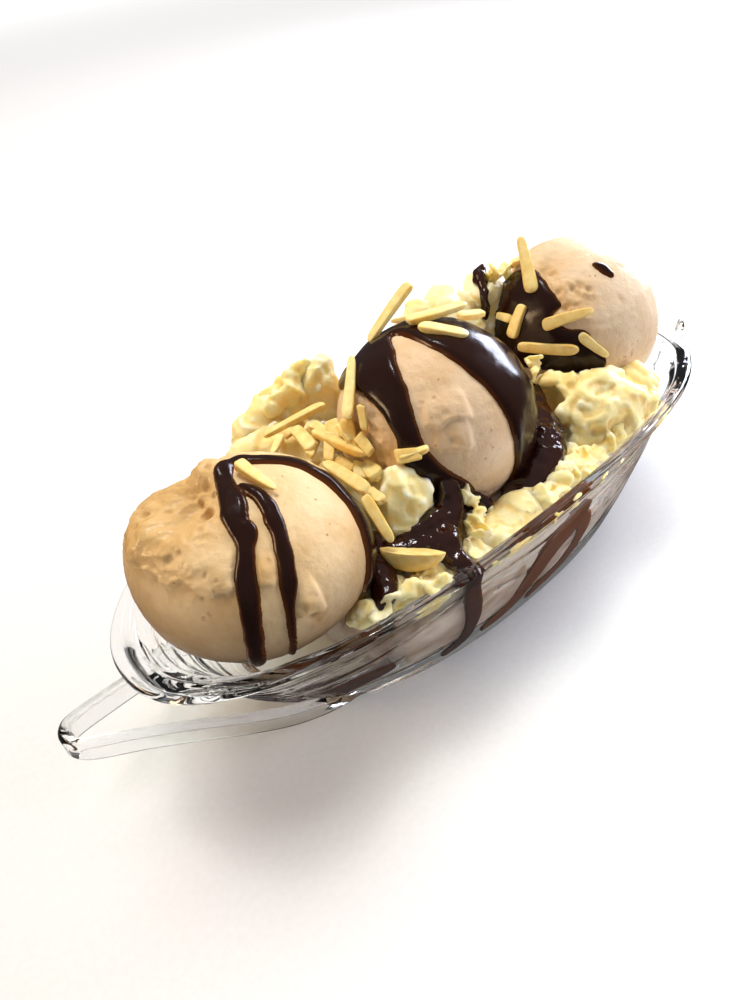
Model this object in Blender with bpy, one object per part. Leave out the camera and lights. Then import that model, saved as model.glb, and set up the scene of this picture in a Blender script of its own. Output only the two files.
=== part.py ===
"""Banana split in a clear pressed-glass boat.

Three uneven scoops of ice cream stand in a row on a bed of softened cream.
A banana half stands on edge along each long wall of the dish, torn dollops of
whipped cream fill the saddles between the scoops, two pools of chocolate
sauce lie on the near side, and slivered almonds are scattered over the top.

The long axis runs along X, the visible handle is at -X and the near wall at
-Y. The origin is at the middle of the dish's foot, on the table, +Z up.
"""

from __future__ import annotations

from collections.abc import Callable, Sequence
from dataclasses import dataclass
from math import atan2, cos, pi, radians, sin, sqrt

import bmesh
import bpy
from mathutils import Matrix, Vector, noise

MM = 0.001
GAP = 0.3  # clearance kept between touching pieces, mm

# Dish, mm
RIM_HEIGHT = 46.0  # rim above the table at the middle of the long sides
RIM_DIP = 8.0  # how much lower the rim lies at the two ends
FOOT_LENGTH, FOOT_WIDTH = 166.0, 79.0
RIM_LENGTH, RIM_WIDTH = 238.0, 100.0
BELLY = (22.0, 6.0)  # swell of half length and half width up to the shoulder
LIP_POWER = 5  # how suddenly the lip turns outwards near the rim
WALL = 3.8
FLOOR = 6.0
RIM_ROUND = 1.5
PLAN_POWER = 2.24  # superellipse power of the plan outline
DISH_SIDES = 40

# Loop handles, mm: centre line of one arm, from the tip to the foot
HANDLE_ARM = (
    (-138.0, 0.0, 28.0),
    (-135.5, 4.6, 27.4),
    (-122.0, 9.6, 22.6),
    (-110.0, 14.0, 17.6),
    (-97.0, 19.0, 12.0),
    (-84.0, 23.6, 7.8),
    (-70.0, 26.4, 5.4),
    (-56.0, 27.0, 5.2),
)
HANDLE_WIDTH, HANDLE_HEIGHT = 3.2, 8.0

# Fillings, mm
BED_TOP = 27.0
BED_OUTLINE = (14.0, 80.0, 60.0)  # centre along X, half length, half width
BANANA_SPAN = (-52.0, 72.0)
BANANA_HEIGHT, BANANA_DEPTH = 28.0, 14.0
BANANA_BASE = 13.0

ALMOND_WIDTH, ALMOND_THICKNESS = 3.9, 2.3


@dataclass(frozen=True)
class Bump:
    """A place where a scoop swells out or is torn in: direction and spread in degrees, height in mm."""

    longitude: float
    latitude: float
    spread: float
    height: float


@dataclass(frozen=True)
class Scoop:
    """One ball of ice cream: centre, side radius, and its heights above and below the centre, mm."""

    name: str
    centre: tuple[float, float, float]
    radius: float
    crown: float
    keel: float
    seed: float
    bumps: tuple[Bump, ...] = ()


SCOOPS = (
    Scoop(
        "scoop_near",
        (-75.8, -5.8, 54.5),
        32.2,
        25.6,
        20.0,
        1.7,
        (
            Bump(134.0, 24.0, 34.0, 2.6),
            Bump(98.0, 41.0, 17.0, -3.0),
            Bump(163.0, 62.0, 16.0, -2.4),
            Bump(170.0, 40.0, 20.0, 1.2),
        ),
    ),
    Scoop("scoop_middle", (-1.3, 0.4, 55.1), 30.8, 30.8, 29.5, 5.2, (Bump(-96.0, 24.0, 22.0, 0.8),)),
    Scoop("scoop_far", (75.4, 4.8, 52.8), 29.6, 29.6, 28.0, 9.4, (Bump(82.0, 60.0, 26.0, 2.2),)),
)


@dataclass(frozen=True)
class Lump:
    """One rough ellipsoid of whipped cream or pooled sauce, mm."""

    centre: tuple[float, float, float]
    radii: tuple[float, float, float]
    rough: float = 1.6

    def near(self, other: Lump) -> bool:
        """Whether the boxes round two lumps come within a few millimetres of each other."""
        return all(
            abs(a - b) < ra + rb + 4.0
            for a, b, ra, rb in zip(self.centre, other.centre, self.radii, other.radii)
        )


CREAM: dict[str, tuple[Lump, ...]] = {
    "cream_front_middle": (
        Lump((-32.0, -17.0, 48.0), (8.5, 11.0, 15.0)),
        Lump((-38.5, 0.0, 48.0), (7.0, 14.0, 11.5)),
    ),
    "cream_back_left": (
        Lump((-40.0, 30.0, 43.0), (20.0, 15.0, 18.5)),
        Lump((-37.0, 37.5, 52.0), (15.0, 7.5, 15.5)),
        Lump((-53.0, 33.0, 47.0), (10.0, 9.0, 12.5)),
        Lump((-19.5, 34.0, 57.0), (7.5, 7.5, 18.0)),
    ),
    "cream_back_right": (
        Lump((36.0, 28.5, 53.0), (15.0, 13.5, 25.0)),
        Lump((25.5, 33.0, 59.0), (9.0, 8.0, 16.5)),
        Lump((54.0, 27.0, 57.0), (11.0, 10.0, 17.0)),
    ),
    "cream_front_right": (
        Lump((50.0, -26.0, 40.0), (18.0, 14.5, 16.5)),
        Lump((63.0, -28.5, 38.0), (12.0, 11.0, 15.0)),
        Lump((44.0, -13.5, 43.0), (8.5, 9.0, 13.5)),
    ),
    "cream_by_rim_1": (Lump((-44.5, -40.0, 39.0), (8.0, 4.4, 4.2), 0.8),),
    "cream_by_rim_2": (Lump((-9.0, -37.5, 41.5), (16.0, 6.2, 5.4), 1.2),),
    "cream_by_rim_3": (Lump((-63.5, -34.0, 42.0), (5.0, 3.6, 3.6), 0.8),),
}

POOLS: dict[str, tuple[Lump, ...]] = {
    "sauce_pool_front": (Lump((-29.8, -31.8, 46.5), (8.6, 8.8, 6.2), 0.5),),
    "sauce_pool_right": (
        Lump((27.5, -24.0, 45.0), (8.0, 9.0, 6.0), 0.5),
        Lump((36.0, -13.5, 47.5), (6.5, 7.5, 6.0), 0.5),
        Lump((17.0, -32.5, 42.8), (8.5, 7.0, 5.2), 0.5),
    ),
}


BED_RISE = Lump((-66.0, -3.0, 27.0), (15.0, 15.0, 10.5), 0.6)  # under the flattened near scoop


@dataclass(frozen=True)
class OnScoop:
    """A sliver lying on a scoop: where on it, which way it points, and its size, degrees and mm."""

    scoop: int
    longitude: float
    latitude: float
    heading: float
    length: float
    lift: float = 0.0
    width: float = ALMOND_WIDTH
    bend: float = 0.0


@dataclass(frozen=True)
class Free:
    """A sliver stuck in the cream: its middle, yaw, pitch and roll, degrees and mm."""

    middle: tuple[float, float, float]
    yaw: float
    pitch: float
    length: float
    width: float = ALMOND_WIDTH
    roll: float = 0.0
    bend: float = 0.0


SLIVERS: tuple[OnScoop | Free, ...] = (
    # on the near scoop
    OnScoop(0, -38.0, 78.0, -132.0, 14.4, bend=1.2),
    # over the crown of the middle scoop
    Free((0.6, 18.2, 86.6), 4.0, 30.0, 22.5),
    Free((-25.6, 8.6, 77.0), 41.0, 21.0, 22.8),
    OnScoop(1, -51.0, 81.0, -99.0, 15.0, 0.3, 5.0),
    Free((8.0, 5.0, 87.6), -16.0, -4.0, 21.2, 4.4),
    Free((24.2, 6.6, 79.4), -13.0, -12.0, 10.0, 4.4),
    OnScoop(1, 52.0, 50.0, -168.0, 19.0, 0.4),
    # on the left side of the far scoop
    Free((56.6, 11.5, 82.5), 54.0, 44.0, 20.0, 5.0),
    OnScoop(2, 175.0, 26.0, -90.0, 12.0, 0.4, 4.8),
    OnScoop(2, -148.0, 34.0, 19.0, 17.0, width=4.6),
    OnScoop(2, -159.0, 15.0, 3.0, 21.0, 0.4),
    OnScoop(2, -130.0, 17.0, -43.0, 12.6),
    OnScoop(2, 162.0, 24.0, 17.0, 8.0, 0.6, 3.0),
    OnScoop(2, 128.0, 54.0, 60.0, 9.0, 0.8),
    # in the saddle between the near and the middle scoop
    Free((-36.5, 24.9, 63.8), -9.0, 4.0, 22.5, 3.2),
    Free((-40.6, 15.5, 63.5), -101.0, 0.0, 13.0, 4.4, 15.0),
    Free((-35.0, 4.6, 64.2), -80.0, 0.0, 22.0, 5.2, -12.0),
    Free((-42.4, -6.0, 61.6), -90.0, 0.0, 19.6, 4.2, 20.0),
    Free((-35.2, -8.2, 60.4), -94.0, 0.0, 7.6, 5.6, 10.0),
    Free((-26.6, -18.5, 66.6), -44.0, 20.0, 9.0, 3.6),
    Free((-44.8, -22.0, 56.4), -98.0, -29.0, 15.5, 3.4, 25.0),
    Free((-47.6, 19.6, 63.4), 34.0, 3.0, 8.5, 3.2),
)
HALF_ALMOND = Free((-42.4, -32.2, 48.4), -56.0, 0.0, 18.5, 7.6, -31.0)
HALF_ALMOND_DEPTH = 5.6


# --------------------------------------------------------------------------
# Scene and mesh helpers
# --------------------------------------------------------------------------


def clear_scene() -> None:
    """Remove every object of the scene that the script starts in."""
    for obj in list(bpy.context.scene.objects):
        bpy.data.objects.remove(obj, do_unlink=True)


def new_collection(name: str) -> bpy.types.Collection:
    """Add a collection to the scene."""
    collection = bpy.data.collections.new(name)
    bpy.context.scene.collection.children.link(collection)
    return collection


def material(
    name: str, colour: tuple[float, float, float], roughness: float, transmission: float = 0.0
) -> bpy.types.Material:
    """A Principled material in one linear colour."""
    made = bpy.data.materials.new(name)
    made.use_nodes = True
    made.diffuse_color = (*colour, 1.0)
    shader = made.node_tree.nodes["Principled BSDF"]
    shader.inputs["Base Color"].default_value = (*colour, 1.0)
    shader.inputs["Roughness"].default_value = roughness
    shader.inputs["Metallic"].default_value = 0.0
    shader.inputs["Transmission Weight"].default_value = transmission
    return made


def add_mesh(
    name: str, built: bmesh.types.BMesh, collection: bpy.types.Collection
) -> bpy.types.Object:
    """Turn a bmesh in millimetres into an object in metres, its faces out and shaded smooth."""
    bmesh.ops.recalc_face_normals(built, faces=built.faces)
    bmesh.ops.scale(built, vec=(MM, MM, MM), verts=built.verts)
    mesh = bpy.data.meshes.new(name)
    built.to_mesh(mesh)
    built.free()
    mesh.shade_smooth()
    mesh.set_sharp_from_angle(angle=radians(50.0))
    made = bpy.data.objects.new(name, mesh)
    collection.objects.link(made)
    return made


def boolean(target: bpy.types.Object, cutter: bpy.types.Object, operation: str) -> None:
    """Add an exact Boolean of the cutter to the target."""
    modifier = target.modifiers.new(f"{operation.lower()}_{cutter.name}", "BOOLEAN")
    modifier.operation = operation
    modifier.solver = "EXACT"
    modifier.object = cutter


def loft(rings: Sequence[Sequence[Vector]]) -> bmesh.types.BMesh:
    """Skin closed rings of equal count, and close both ends."""
    built = bmesh.new()
    rows = [[built.verts.new(point) for point in ring] for ring in rings]
    count = len(rows[0])
    for lower, upper in zip(rows, rows[1:]):
        for i in range(count):
            j = (i + 1) % count
            built.faces.new((lower[i], lower[j], upper[j], upper[i]))
    built.faces.new(rows[0])
    built.faces.new(rows[-1])
    return built


def uneven(point: Vector, size: float, seed: float) -> float:
    """Smooth noise between about -1 and 1, with lumps of the given size in mm."""
    return noise.noise(point / size + Vector((seed, 2.3 * seed, 5.1 * seed)))


# --------------------------------------------------------------------------
# Glass dish
# --------------------------------------------------------------------------


def plan_factor(angle: float) -> tuple[float, float]:
    """Unit superellipse at this angle."""
    power = 2.0 / PLAN_POWER
    x = abs(cos(angle)) ** power * (1 if cos(angle) >= 0 else -1)
    y = abs(sin(angle)) ** power * (1 if sin(angle) >= 0 else -1)
    return x, y


def rim_height(plan_x: float) -> float:
    """Height of the rim where the unit outline has this X."""
    return RIM_HEIGHT - RIM_DIP * plan_x**2


def half_size(share: float, foot: float, belly: float, rim: float) -> tuple[float, float]:
    """Outer half size at a share of the rim's height, and how fast it grows with that share."""
    lip = rim - foot - belly
    size = foot + belly * (1 - (1 - share) ** 2) + lip * share**LIP_POWER
    growth = 2 * belly * (1 - share) + LIP_POWER * lip * share ** (LIP_POWER - 1)
    return size, growth


def wall_ring(share: float, inset: float, rise: float = 0.0, walls: float = 0.0) -> list[Vector]:
    """One ring round the dish.

    Args:
        share: height as a share of the rim's height at each place.
        inset: level distance inwards from the outer surface, mm.
        rise: height added, mm.
        walls: number of wall thicknesses inwards, measured square to the wall.

    Returns:
        The ring's points, mm.
    """
    half_x, grow_x = half_size(share, FOOT_LENGTH / 2, BELLY[0], RIM_LENGTH / 2)
    half_y, grow_y = half_size(share, FOOT_WIDTH / 2, BELLY[1], RIM_WIDTH / 2)
    inset_x = inset + walls * WALL * sqrt(1 + (grow_x / (RIM_HEIGHT - RIM_DIP)) ** 2)
    inset_y = inset + walls * WALL * sqrt(1 + (grow_y / RIM_HEIGHT) ** 2)
    ring = []
    for i in range(DISH_SIDES):
        x, y = plan_factor(2 * pi * (i + 0.5) / DISH_SIDES)
        height = share * rim_height(x) + rise
        ring.append(Vector(((half_x - inset_x) * x, (half_y - inset_y) * y, height)))
    return ring


def flat_ring(share: float, walls: float, scale: float, height: float, inset: float = 0.0) -> list[Vector]:
    """A level ring whose outline is a wall ring's, scaled, at one height."""
    return [
        Vector((p.x * scale, p.y * scale, height))
        for p in wall_ring(share, inset, walls=walls)
    ]


def dish_body() -> bmesh.types.BMesh:
    """The dish as if it were full: foot, belly, lip and rounded rim."""
    rings = [wall_ring(0.0, 0.8), wall_ring(0.02, 0.0)]
    rings += [wall_ring(share, 0.0) for share in (0.16, 0.34, 0.52, 0.70, 0.84, 0.93)]
    rings += [
        wall_ring(1.0, 0.0, -RIM_ROUND),
        wall_ring(1.0, 0.3 * RIM_ROUND, -0.3 * RIM_ROUND),
        wall_ring(1.0, RIM_ROUND),
    ]
    return loft(rings)


def hollow(clearance: float, mouth: float) -> bmesh.types.BMesh:
    """The space inside the dish, open well above the rim.

    Args:
        clearance: distance kept from the glass, mm.
        mouth: how far past the outer edge the space reaches above the rim, mm.
    """
    low = FLOOR + clearance
    rings = [
        flat_ring(0.16, 1.0, 0.70, low, clearance),
        flat_ring(0.16, 1.0, 0.90, low + 0.6, clearance),
        flat_ring(0.20, 1.0, 1.0, low + 3.6, clearance),
    ]
    rings += [wall_ring(share, clearance, walls=1.0) for share in (0.38, 0.56, 0.72, 0.86)]
    rings += [
        wall_ring(1.0, clearance, -RIM_ROUND, 1.0),
        wall_ring(1.0, clearance - 0.3 * RIM_ROUND, -0.3 * RIM_ROUND + clearance, 1.0),
        wall_ring(1.0, -RIM_ROUND, GAP + clearance, 1.0),
    ]
    if mouth:
        rings.append(wall_ring(1.0, -mouth, 0.4 + 2 * clearance))
        rings.append(wall_ring(1.0, -mouth, 70.0))
    else:
        rings.append(wall_ring(1.0, -2 * RIM_ROUND, 10.0, 1.0))
    return loft(rings)


def handle_loop(name: str, side: int, collection: bpy.types.Collection) -> bpy.types.Object:
    """One loop handle: a tall ribbon of glass swept out from the foot, round the tip and back."""
    arm = [Vector((side * x, y, z)) for x, y, z in HANDLE_ARM]
    far = [Vector((p.x, -p.y, p.z)) for p in arm[:0:-1]]
    route = bpy.data.curves.new(f"{name}_route", "CURVE")
    route.dimensions = "3D"
    route.twist_mode = "Z_UP"
    route.resolution_u = 2
    spline = route.splines.new("BEZIER")
    points = far + arm
    spline.bezier_points.add(len(points) - 1)
    for bezier, point in zip(spline.bezier_points, points):
        bezier.co = point * MM
        bezier.handle_left_type = "AUTO"
        bezier.handle_right_type = "AUTO"
    profile = bpy.data.curves.new(f"{name}_section", "CURVE")
    profile.dimensions = "2D"
    section = profile.splines.new("POLY")
    corner = 0.9
    half_w, half_h = HANDLE_WIDTH / 2, HANDLE_HEIGHT / 2
    outline = []
    for turn in range(4):
        sx, sy = ((1, -1), (1, 1), (-1, 1), (-1, -1))[turn]
        first, second = ((0, corner), (corner, 0)) if sx * sy > 0 else ((corner, 0), (0, corner))
        for cut_x, cut_y in (second, first) if sx * sy < 0 else (first, second):
            outline.append((sx * (half_w - cut_x), sy * (half_h - cut_y)))
    outline.sort(key=lambda q: atan2(q[1], q[0]))
    section.points.add(len(outline) - 1)
    for point, (x, y) in zip(section.points, outline):
        point.co = (x * MM, y * MM, 0.0, 1.0)
    section.use_cyclic_u = True
    section_object = bpy.data.objects.new(f"{name}_section", profile)
    collection.objects.link(section_object)
    route.bevel_mode = "OBJECT"
    route.bevel_object = section_object
    route.use_fill_caps = True
    curve = bpy.data.objects.new(f"{name}_curve", route)
    collection.objects.link(curve)
    bpy.context.view_layer.update()
    graph = bpy.context.evaluated_depsgraph_get()
    mesh = bpy.data.meshes.new_from_object(curve.evaluated_get(graph))
    built = bmesh.new()
    built.from_mesh(mesh)
    bmesh.ops.remove_doubles(built, verts=built.verts, dist=0.00001)
    bmesh.ops.scale(built, vec=(1 / MM, 1 / MM, 1 / MM), verts=built.verts)
    bpy.data.objects.remove(curve)
    bpy.data.objects.remove(section_object)
    bpy.data.meshes.remove(mesh)
    return add_mesh(name, built, collection)


# --------------------------------------------------------------------------
# Food
# --------------------------------------------------------------------------


def pointing(longitude: float, latitude: float) -> Vector:
    """Unit vector towards a longitude and latitude in degrees."""
    around, up = radians(longitude), radians(latitude)
    return Vector((cos(up) * cos(around), cos(up) * sin(around), sin(up)))


def scoop_radius(scoop: Scoop, direction: Vector) -> float:
    """Distance from a scoop's centre to its surface in this direction, mm."""
    height = scoop.crown if direction.z > 0 else scoop.keel
    level = sqrt(max(1e-9, 1 - direction.z**2))
    reach = 1 / sqrt((level / scoop.radius) ** 2 + (direction.z / height) ** 2)
    reach += 0.8 * uneven(direction * 30.0, 22.0, scoop.seed)
    for bump in scoop.bumps:
        away = direction.angle(pointing(bump.longitude, bump.latitude))
        reach += bump.height * max(0.0, 1 - (away / radians(1.6 * bump.spread)) ** 2) ** 2
    return reach


def scoop_mesh(scoop: Scoop, grow: float = 0.0) -> bmesh.types.BMesh:
    """The ball of one scoop, grown by a clearance where it is a cutter."""
    built = bmesh.new()
    bmesh.ops.create_uvsphere(built, u_segments=20, v_segments=12, radius=1.0)
    centre = Vector(scoop.centre)
    for vert in built.verts:
        direction = vert.co.normalized()
        vert.co = centre + direction * (scoop_radius(scoop, direction) + grow)
    return built


def lump_mesh(lump: Lump, seed: float, grow: float = 0.0) -> bmesh.types.BMesh:
    """A rough ellipsoid: broad lumps with smaller torn ones over them."""
    built = bmesh.new()
    bmesh.ops.create_uvsphere(built, u_segments=10, v_segments=6, radius=1.0)
    radii = Vector(lump.radii)
    for vert in built.verts:
        direction = vert.co.normalized()
        base = Vector((direction.x * radii.x, direction.y * radii.y, direction.z * radii.z))
        rough = lump.rough * (
            uneven(base, 9.0, seed) + 0.7 * abs(uneven(base, 4.5, seed + 1.0))
        )
        vert.co = Vector(lump.centre) + base + direction * (rough + grow)
    return built


def wall_reach(x: float, height: float) -> float:
    """Half width of the dish's inside at this place along X and this height, mm."""
    share = height / (RIM_HEIGHT - RIM_DIP / 2)
    half_x = half_size(share, FOOT_LENGTH / 2, BELLY[0], RIM_LENGTH / 2)[0] - WALL
    half_y = half_size(share, FOOT_WIDTH / 2, BELLY[1], RIM_WIDTH / 2)[0] - WALL
    return half_y * (1 - abs(x / half_x) ** PLAN_POWER) ** (1 / PLAN_POWER)


def banana_mesh(side: int, grow: float = 0.0) -> bmesh.types.BMesh:
    """A banana half on edge along one long wall, its round side to the glass.

    Args:
        side: -1 for the near wall, 1 for the far wall.
        grow: clearance added all round where it is a cutter, mm.
    """
    start, end = BANANA_SPAN
    middle, half_length = (start + end) / 2, (end - start) / 2
    centre_z = BANANA_BASE + BANANA_HEIGHT / 2
    rings = []
    for step in range(13):
        along = -cos(pi * step / 12)
        x = middle + (half_length + grow) * along
        fat = 0.94 * max(0.0, 1 - along**2) ** 0.31 + 0.06
        height = BANANA_HEIGHT / 2 * fat + grow
        depth = BANANA_DEPTH * fat
        outer = wall_reach(x, centre_z) - 0.6 + 0.5 * uneven(Vector((x, 20.0 * side, 0.0)), 18.0, 3.0)
        cut_face = outer - BANANA_DEPTH
        ring = []
        for turn in range(8):
            angle = 2 * pi * (turn + 0.5) / 8
            out = cos(angle)
            reach = (depth + grow) * out if out > 0 else (1.2 + grow) * out
            ring.append(Vector((x, side * (cut_face + reach), centre_z + height * sin(angle))))
        rings.append(ring)
    return loft(rings)


def bed_mesh() -> bmesh.types.BMesh:
    """The slab of softened cream in the bottom of the dish, before it is fitted."""
    middle, half_x, half_y = BED_OUTLINE
    rings = []
    for height, inset in ((2.0, 6.0), (BED_TOP - 3.0, 0.0), (BED_TOP, 2.5)):
        ring = []
        for i in range(20):
            x, y = plan_factor(2 * pi * (i + 0.5) / 20)
            ring.append(Vector((middle + (half_x - inset) * x, (half_y - inset) * y, height)))
        rings.append(ring)
    return loft(rings)


def under_bed() -> bmesh.types.BMesh:
    """Everything up to just above the bed, which the dollops are cut off at."""
    built = bmesh.new()
    bmesh.ops.create_cube(built, size=1.0)
    bmesh.ops.scale(built, vec=(300.0, 140.0, 60.0), verts=built.verts)
    bmesh.ops.translate(built, vec=(0.0, 0.0, BED_TOP + GAP - 30.0), verts=built.verts)
    return built


# --------------------------------------------------------------------------
# Almonds
# --------------------------------------------------------------------------


def sliver_mesh(length: float, width: float, bend: float = 0.0) -> bmesh.types.BMesh:
    """A sliver along X, cut flat below, its upper edges worn round and its ends slanted."""
    half = length / 2
    rings = []
    for share, slim in ((-1.0, 0.5), (-0.6, 1.0), (0.7, 0.9), (1.0, 0.4)):
        half_w, half_t = width / 2 * slim, ALMOND_THICKNESS / 2 * slim
        outline = ((-1, -1), (1, -1), (1, 0.35), (0.45, 1), (-0.45, 1), (-1, 0.35))
        sag = bend * (1 - share**2)
        rings.append([Vector((half * share, half_w * y + sag, half_t * z)) for y, z in outline])
    return loft(rings)


def half_almond_mesh(length: float, width: float) -> bmesh.types.BMesh:
    """Half an almond lying along X: its cut face flat on top, its bowed side below."""
    rings = []
    for step in range(8):
        along = -cos(pi * step / 7)
        fat = max(0.12, (1 - along**2) ** 0.5 * (1 - 0.22 * along))
        ring = []
        for turn in range(7):
            angle = pi + pi * turn / 6
            side, down = cos(angle), sin(angle)
            ring.append(
                Vector((length / 2 * along, width / 2 * fat * side, HALF_ALMOND_DEPTH * fat * down))
            )
        rings.append(ring)
    return loft(rings)


def scoop_frame(item: OnScoop, reach: float) -> Matrix:
    """Where a sliver on a scoop sits: X along its heading, Z away from the scoop."""
    scoop = SCOOPS[item.scoop]
    longitude, heading = radians(item.longitude), radians(item.heading)
    out = pointing(item.longitude, item.latitude)
    east = Vector((-sin(longitude), cos(longitude), 0.0))
    north = out.cross(east)
    along = east * cos(heading) + north * sin(heading)
    across = out.cross(along)
    origin = Vector(scoop.centre) + out * (scoop_radius(scoop, out) + reach)
    frame = Matrix((along, across, out)).transposed().to_4x4()
    frame.translation = origin
    return frame


def free_frame(item: Free) -> Matrix:
    """Where a sliver in the cream sits, from its middle, yaw, pitch and roll."""
    turn = Matrix.Rotation(radians(item.yaw), 4, "Z")
    turn = turn @ Matrix.Rotation(-radians(item.pitch), 4, "Y")
    turn = turn @ Matrix.Rotation(radians(item.roll), 4, "X")
    return Matrix.Translation(item.middle) @ turn


# --------------------------------------------------------------------------
# Assembly
# --------------------------------------------------------------------------


class Builder:
    """Adds the parts and their cutters to the scene."""

    def __init__(self) -> None:
        """Make the two collections and the materials."""
        self.parts = new_collection("banana_split")
        self.cutters = new_collection("cutters")
        self.laid: list[tuple[Lump, bpy.types.Object]] = []
        self.finishes = {
            "glass": material("clear_glass", (0.92, 0.95, 0.95), 0.03, 1.0),
            "ice_cream": material("ice_cream", (0.62, 0.42, 0.22), 0.55),
            "cream": material("whipped_cream", (0.88, 0.74, 0.32), 0.6),
            "bed": material("softened_cream", (0.42, 0.28, 0.18), 0.45),
            "banana": material("banana_flesh", (0.62, 0.48, 0.38), 0.5),
            "sauce": material("chocolate_sauce", (0.012, 0.005, 0.003), 0.15),
            "almond": material("almond", (0.72, 0.48, 0.14), 0.5),
        }

    def part(self, name: str, built: bmesh.types.BMesh, finish: str) -> bpy.types.Object:
        """Add one named piece in its material."""
        made = add_mesh(name, built, self.parts)
        made.data.materials.append(self.finishes[finish])
        return made

    def cutter(self, name: str, built: bmesh.types.BMesh) -> bpy.types.Object:
        """Add one hidden cutter."""
        made = add_mesh(name, built, self.cutters)
        return self.hide(made)

    @staticmethod
    def hide(made: bpy.types.Object) -> bpy.types.Object:
        """Keep a helper out of the model."""
        made.hide_render = True
        made.display_type = "WIRE"
        return made

    def dish(self) -> None:
        """The boat with its two loop handles, hollowed last so that no arm stands inside."""
        body = self.part("glass_dish", dish_body(), "glass")
        for name, side in (("handle_near", 1), ("handle_far", -1)):
            boolean(body, self.hide(handle_loop(name, side, self.cutters)), "UNION")
        boolean(body, self.cutter("dish_hollow", hollow(0.0, 0.0)), "DIFFERENCE")

    def fit(self, made: bpy.types.Object, cutters: Sequence[bpy.types.Object]) -> None:
        """Keep a piece inside the dish's space and clear of its neighbours."""
        boolean(made, self.food_space, "INTERSECT")
        for cutter in cutters:
            boolean(made, cutter, "DIFFERENCE")

    def food(self) -> None:
        """Scoops, banana halves, bed, dollops and pools, each cut clear of the ones before."""
        self.food_space = self.cutter("food_space", hollow(GAP, 5.0))
        scoop_cutters = [
            self.cutter(f"{scoop.name}_clearance", scoop_mesh(scoop, GAP)) for scoop in SCOOPS
        ]
        for scoop in SCOOPS:
            self.fit(self.part(scoop.name, scoop_mesh(scoop), "ice_cream"), ())
        banana_cutters = []
        for name, side in (("banana_half_near", -1), ("banana_half_far", 1)):
            self.fit(self.part(name, banana_mesh(side), "banana"), scoop_cutters)
            banana_cutters.append(self.cutter(f"{name}_clearance", banana_mesh(side, GAP)))
        bed = self.part("cream_bed", bed_mesh(), "bed")
        boolean(bed, self.cutter("bed_rise", lump_mesh(BED_RISE, 15.0)), "UNION")
        self.fit(bed, scoop_cutters + banana_cutters)
        below = self.cutter("under_bed", under_bed())
        blockers = [below, *scoop_cutters, *banana_cutters]
        for number, (name, lumps) in enumerate((POOLS | CREAM).items()):
            finish = "sauce" if name in POOLS else "cream"
            self.dollop(name, lumps, finish, 20.0 + 5 * number, blockers)

    def dollop(
        self,
        name: str,
        lumps: Sequence[Lump],
        finish: str,
        seed: float,
        blockers: Sequence[bpy.types.Object],
    ) -> None:
        """One mound or pool, united from its lumps and cut clear of those made before it."""
        made = self.part(name, lump_mesh(lumps[0], seed), finish)
        for number, lump in enumerate(lumps[1:], 1):
            more = self.cutter(f"{name}_lump_{number}", lump_mesh(lump, seed + number))
            boolean(made, more, "UNION")
        earlier = [
            cutter
            for other, cutter in self.laid
            if any(lump.near(other) for lump in lumps)
        ]
        self.fit(made, [*blockers, *earlier])
        for number, lump in enumerate(lumps):
            cutter = self.cutter(f"{name}_clearance_{number}", lump_mesh(lump, seed + number, GAP))
            self.laid.append((lump, cutter))

    def almonds(self) -> None:
        """Every sliver, and the one half almond by the near rim."""
        for number, item in enumerate(SLIVERS, 1):
            shape = sliver_mesh(item.length, item.width, item.bend)
            made = self.part(f"almond_{number:02d}", shape, "almond")
            if isinstance(item, OnScoop):
                frame = scoop_frame(item, ALMOND_THICKNESS / 2 + GAP + item.lift)
            else:
                frame = free_frame(item)
            self.place(made, frame)
        half = self.part(
            "almond_half", half_almond_mesh(HALF_ALMOND.length, HALF_ALMOND.width), "almond"
        )
        self.place(half, free_frame(HALF_ALMOND))

    @staticmethod
    def place(made: bpy.types.Object, frame: Matrix) -> None:
        """Move a piece to its frame, whose place is in mm."""
        placed = frame.copy()
        placed.translation = frame.translation * MM
        made.matrix_world = placed


def main() -> None:
    """Build the whole banana split."""
    clear_scene()
    builder = Builder()
    steps: tuple[Callable[[], None], ...] = (builder.dish, builder.food, builder.almonds)
    for step in steps:
        step()


main()
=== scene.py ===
"""Looks of a banana split served in a clear pressed-glass boat.

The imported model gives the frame: where the dish, the scoops, the cream, the
sauce and every almond lie. This script puts the real surfaces there: churned
ice cream, torn cream, poured chocolate sauce, split almonds and clear glass.
Sizes are in millimetres unless a name says otherwise.
"""

from __future__ import annotations

import logging
from collections.abc import Callable, Sequence
from dataclasses import dataclass
from enum import Enum
from functools import lru_cache
from itertools import product
from math import cos, pi, radians, sin, sqrt

import bmesh
import bpy
import numpy as np
from mathutils import Matrix, Vector


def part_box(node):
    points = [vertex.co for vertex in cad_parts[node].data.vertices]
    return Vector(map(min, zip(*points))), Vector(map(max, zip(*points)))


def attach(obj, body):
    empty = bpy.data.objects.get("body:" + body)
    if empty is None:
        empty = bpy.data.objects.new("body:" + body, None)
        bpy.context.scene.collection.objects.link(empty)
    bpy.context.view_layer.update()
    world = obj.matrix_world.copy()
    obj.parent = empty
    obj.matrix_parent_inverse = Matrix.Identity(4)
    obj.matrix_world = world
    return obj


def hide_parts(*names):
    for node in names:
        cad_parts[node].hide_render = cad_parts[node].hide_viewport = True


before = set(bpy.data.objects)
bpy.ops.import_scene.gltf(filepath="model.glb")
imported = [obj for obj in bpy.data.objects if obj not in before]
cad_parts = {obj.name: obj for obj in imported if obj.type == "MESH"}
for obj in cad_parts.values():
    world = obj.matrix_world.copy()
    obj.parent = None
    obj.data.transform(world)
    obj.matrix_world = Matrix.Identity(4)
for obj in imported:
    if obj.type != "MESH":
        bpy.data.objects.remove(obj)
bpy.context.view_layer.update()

MM = 0.001
BODY = "root"
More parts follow.
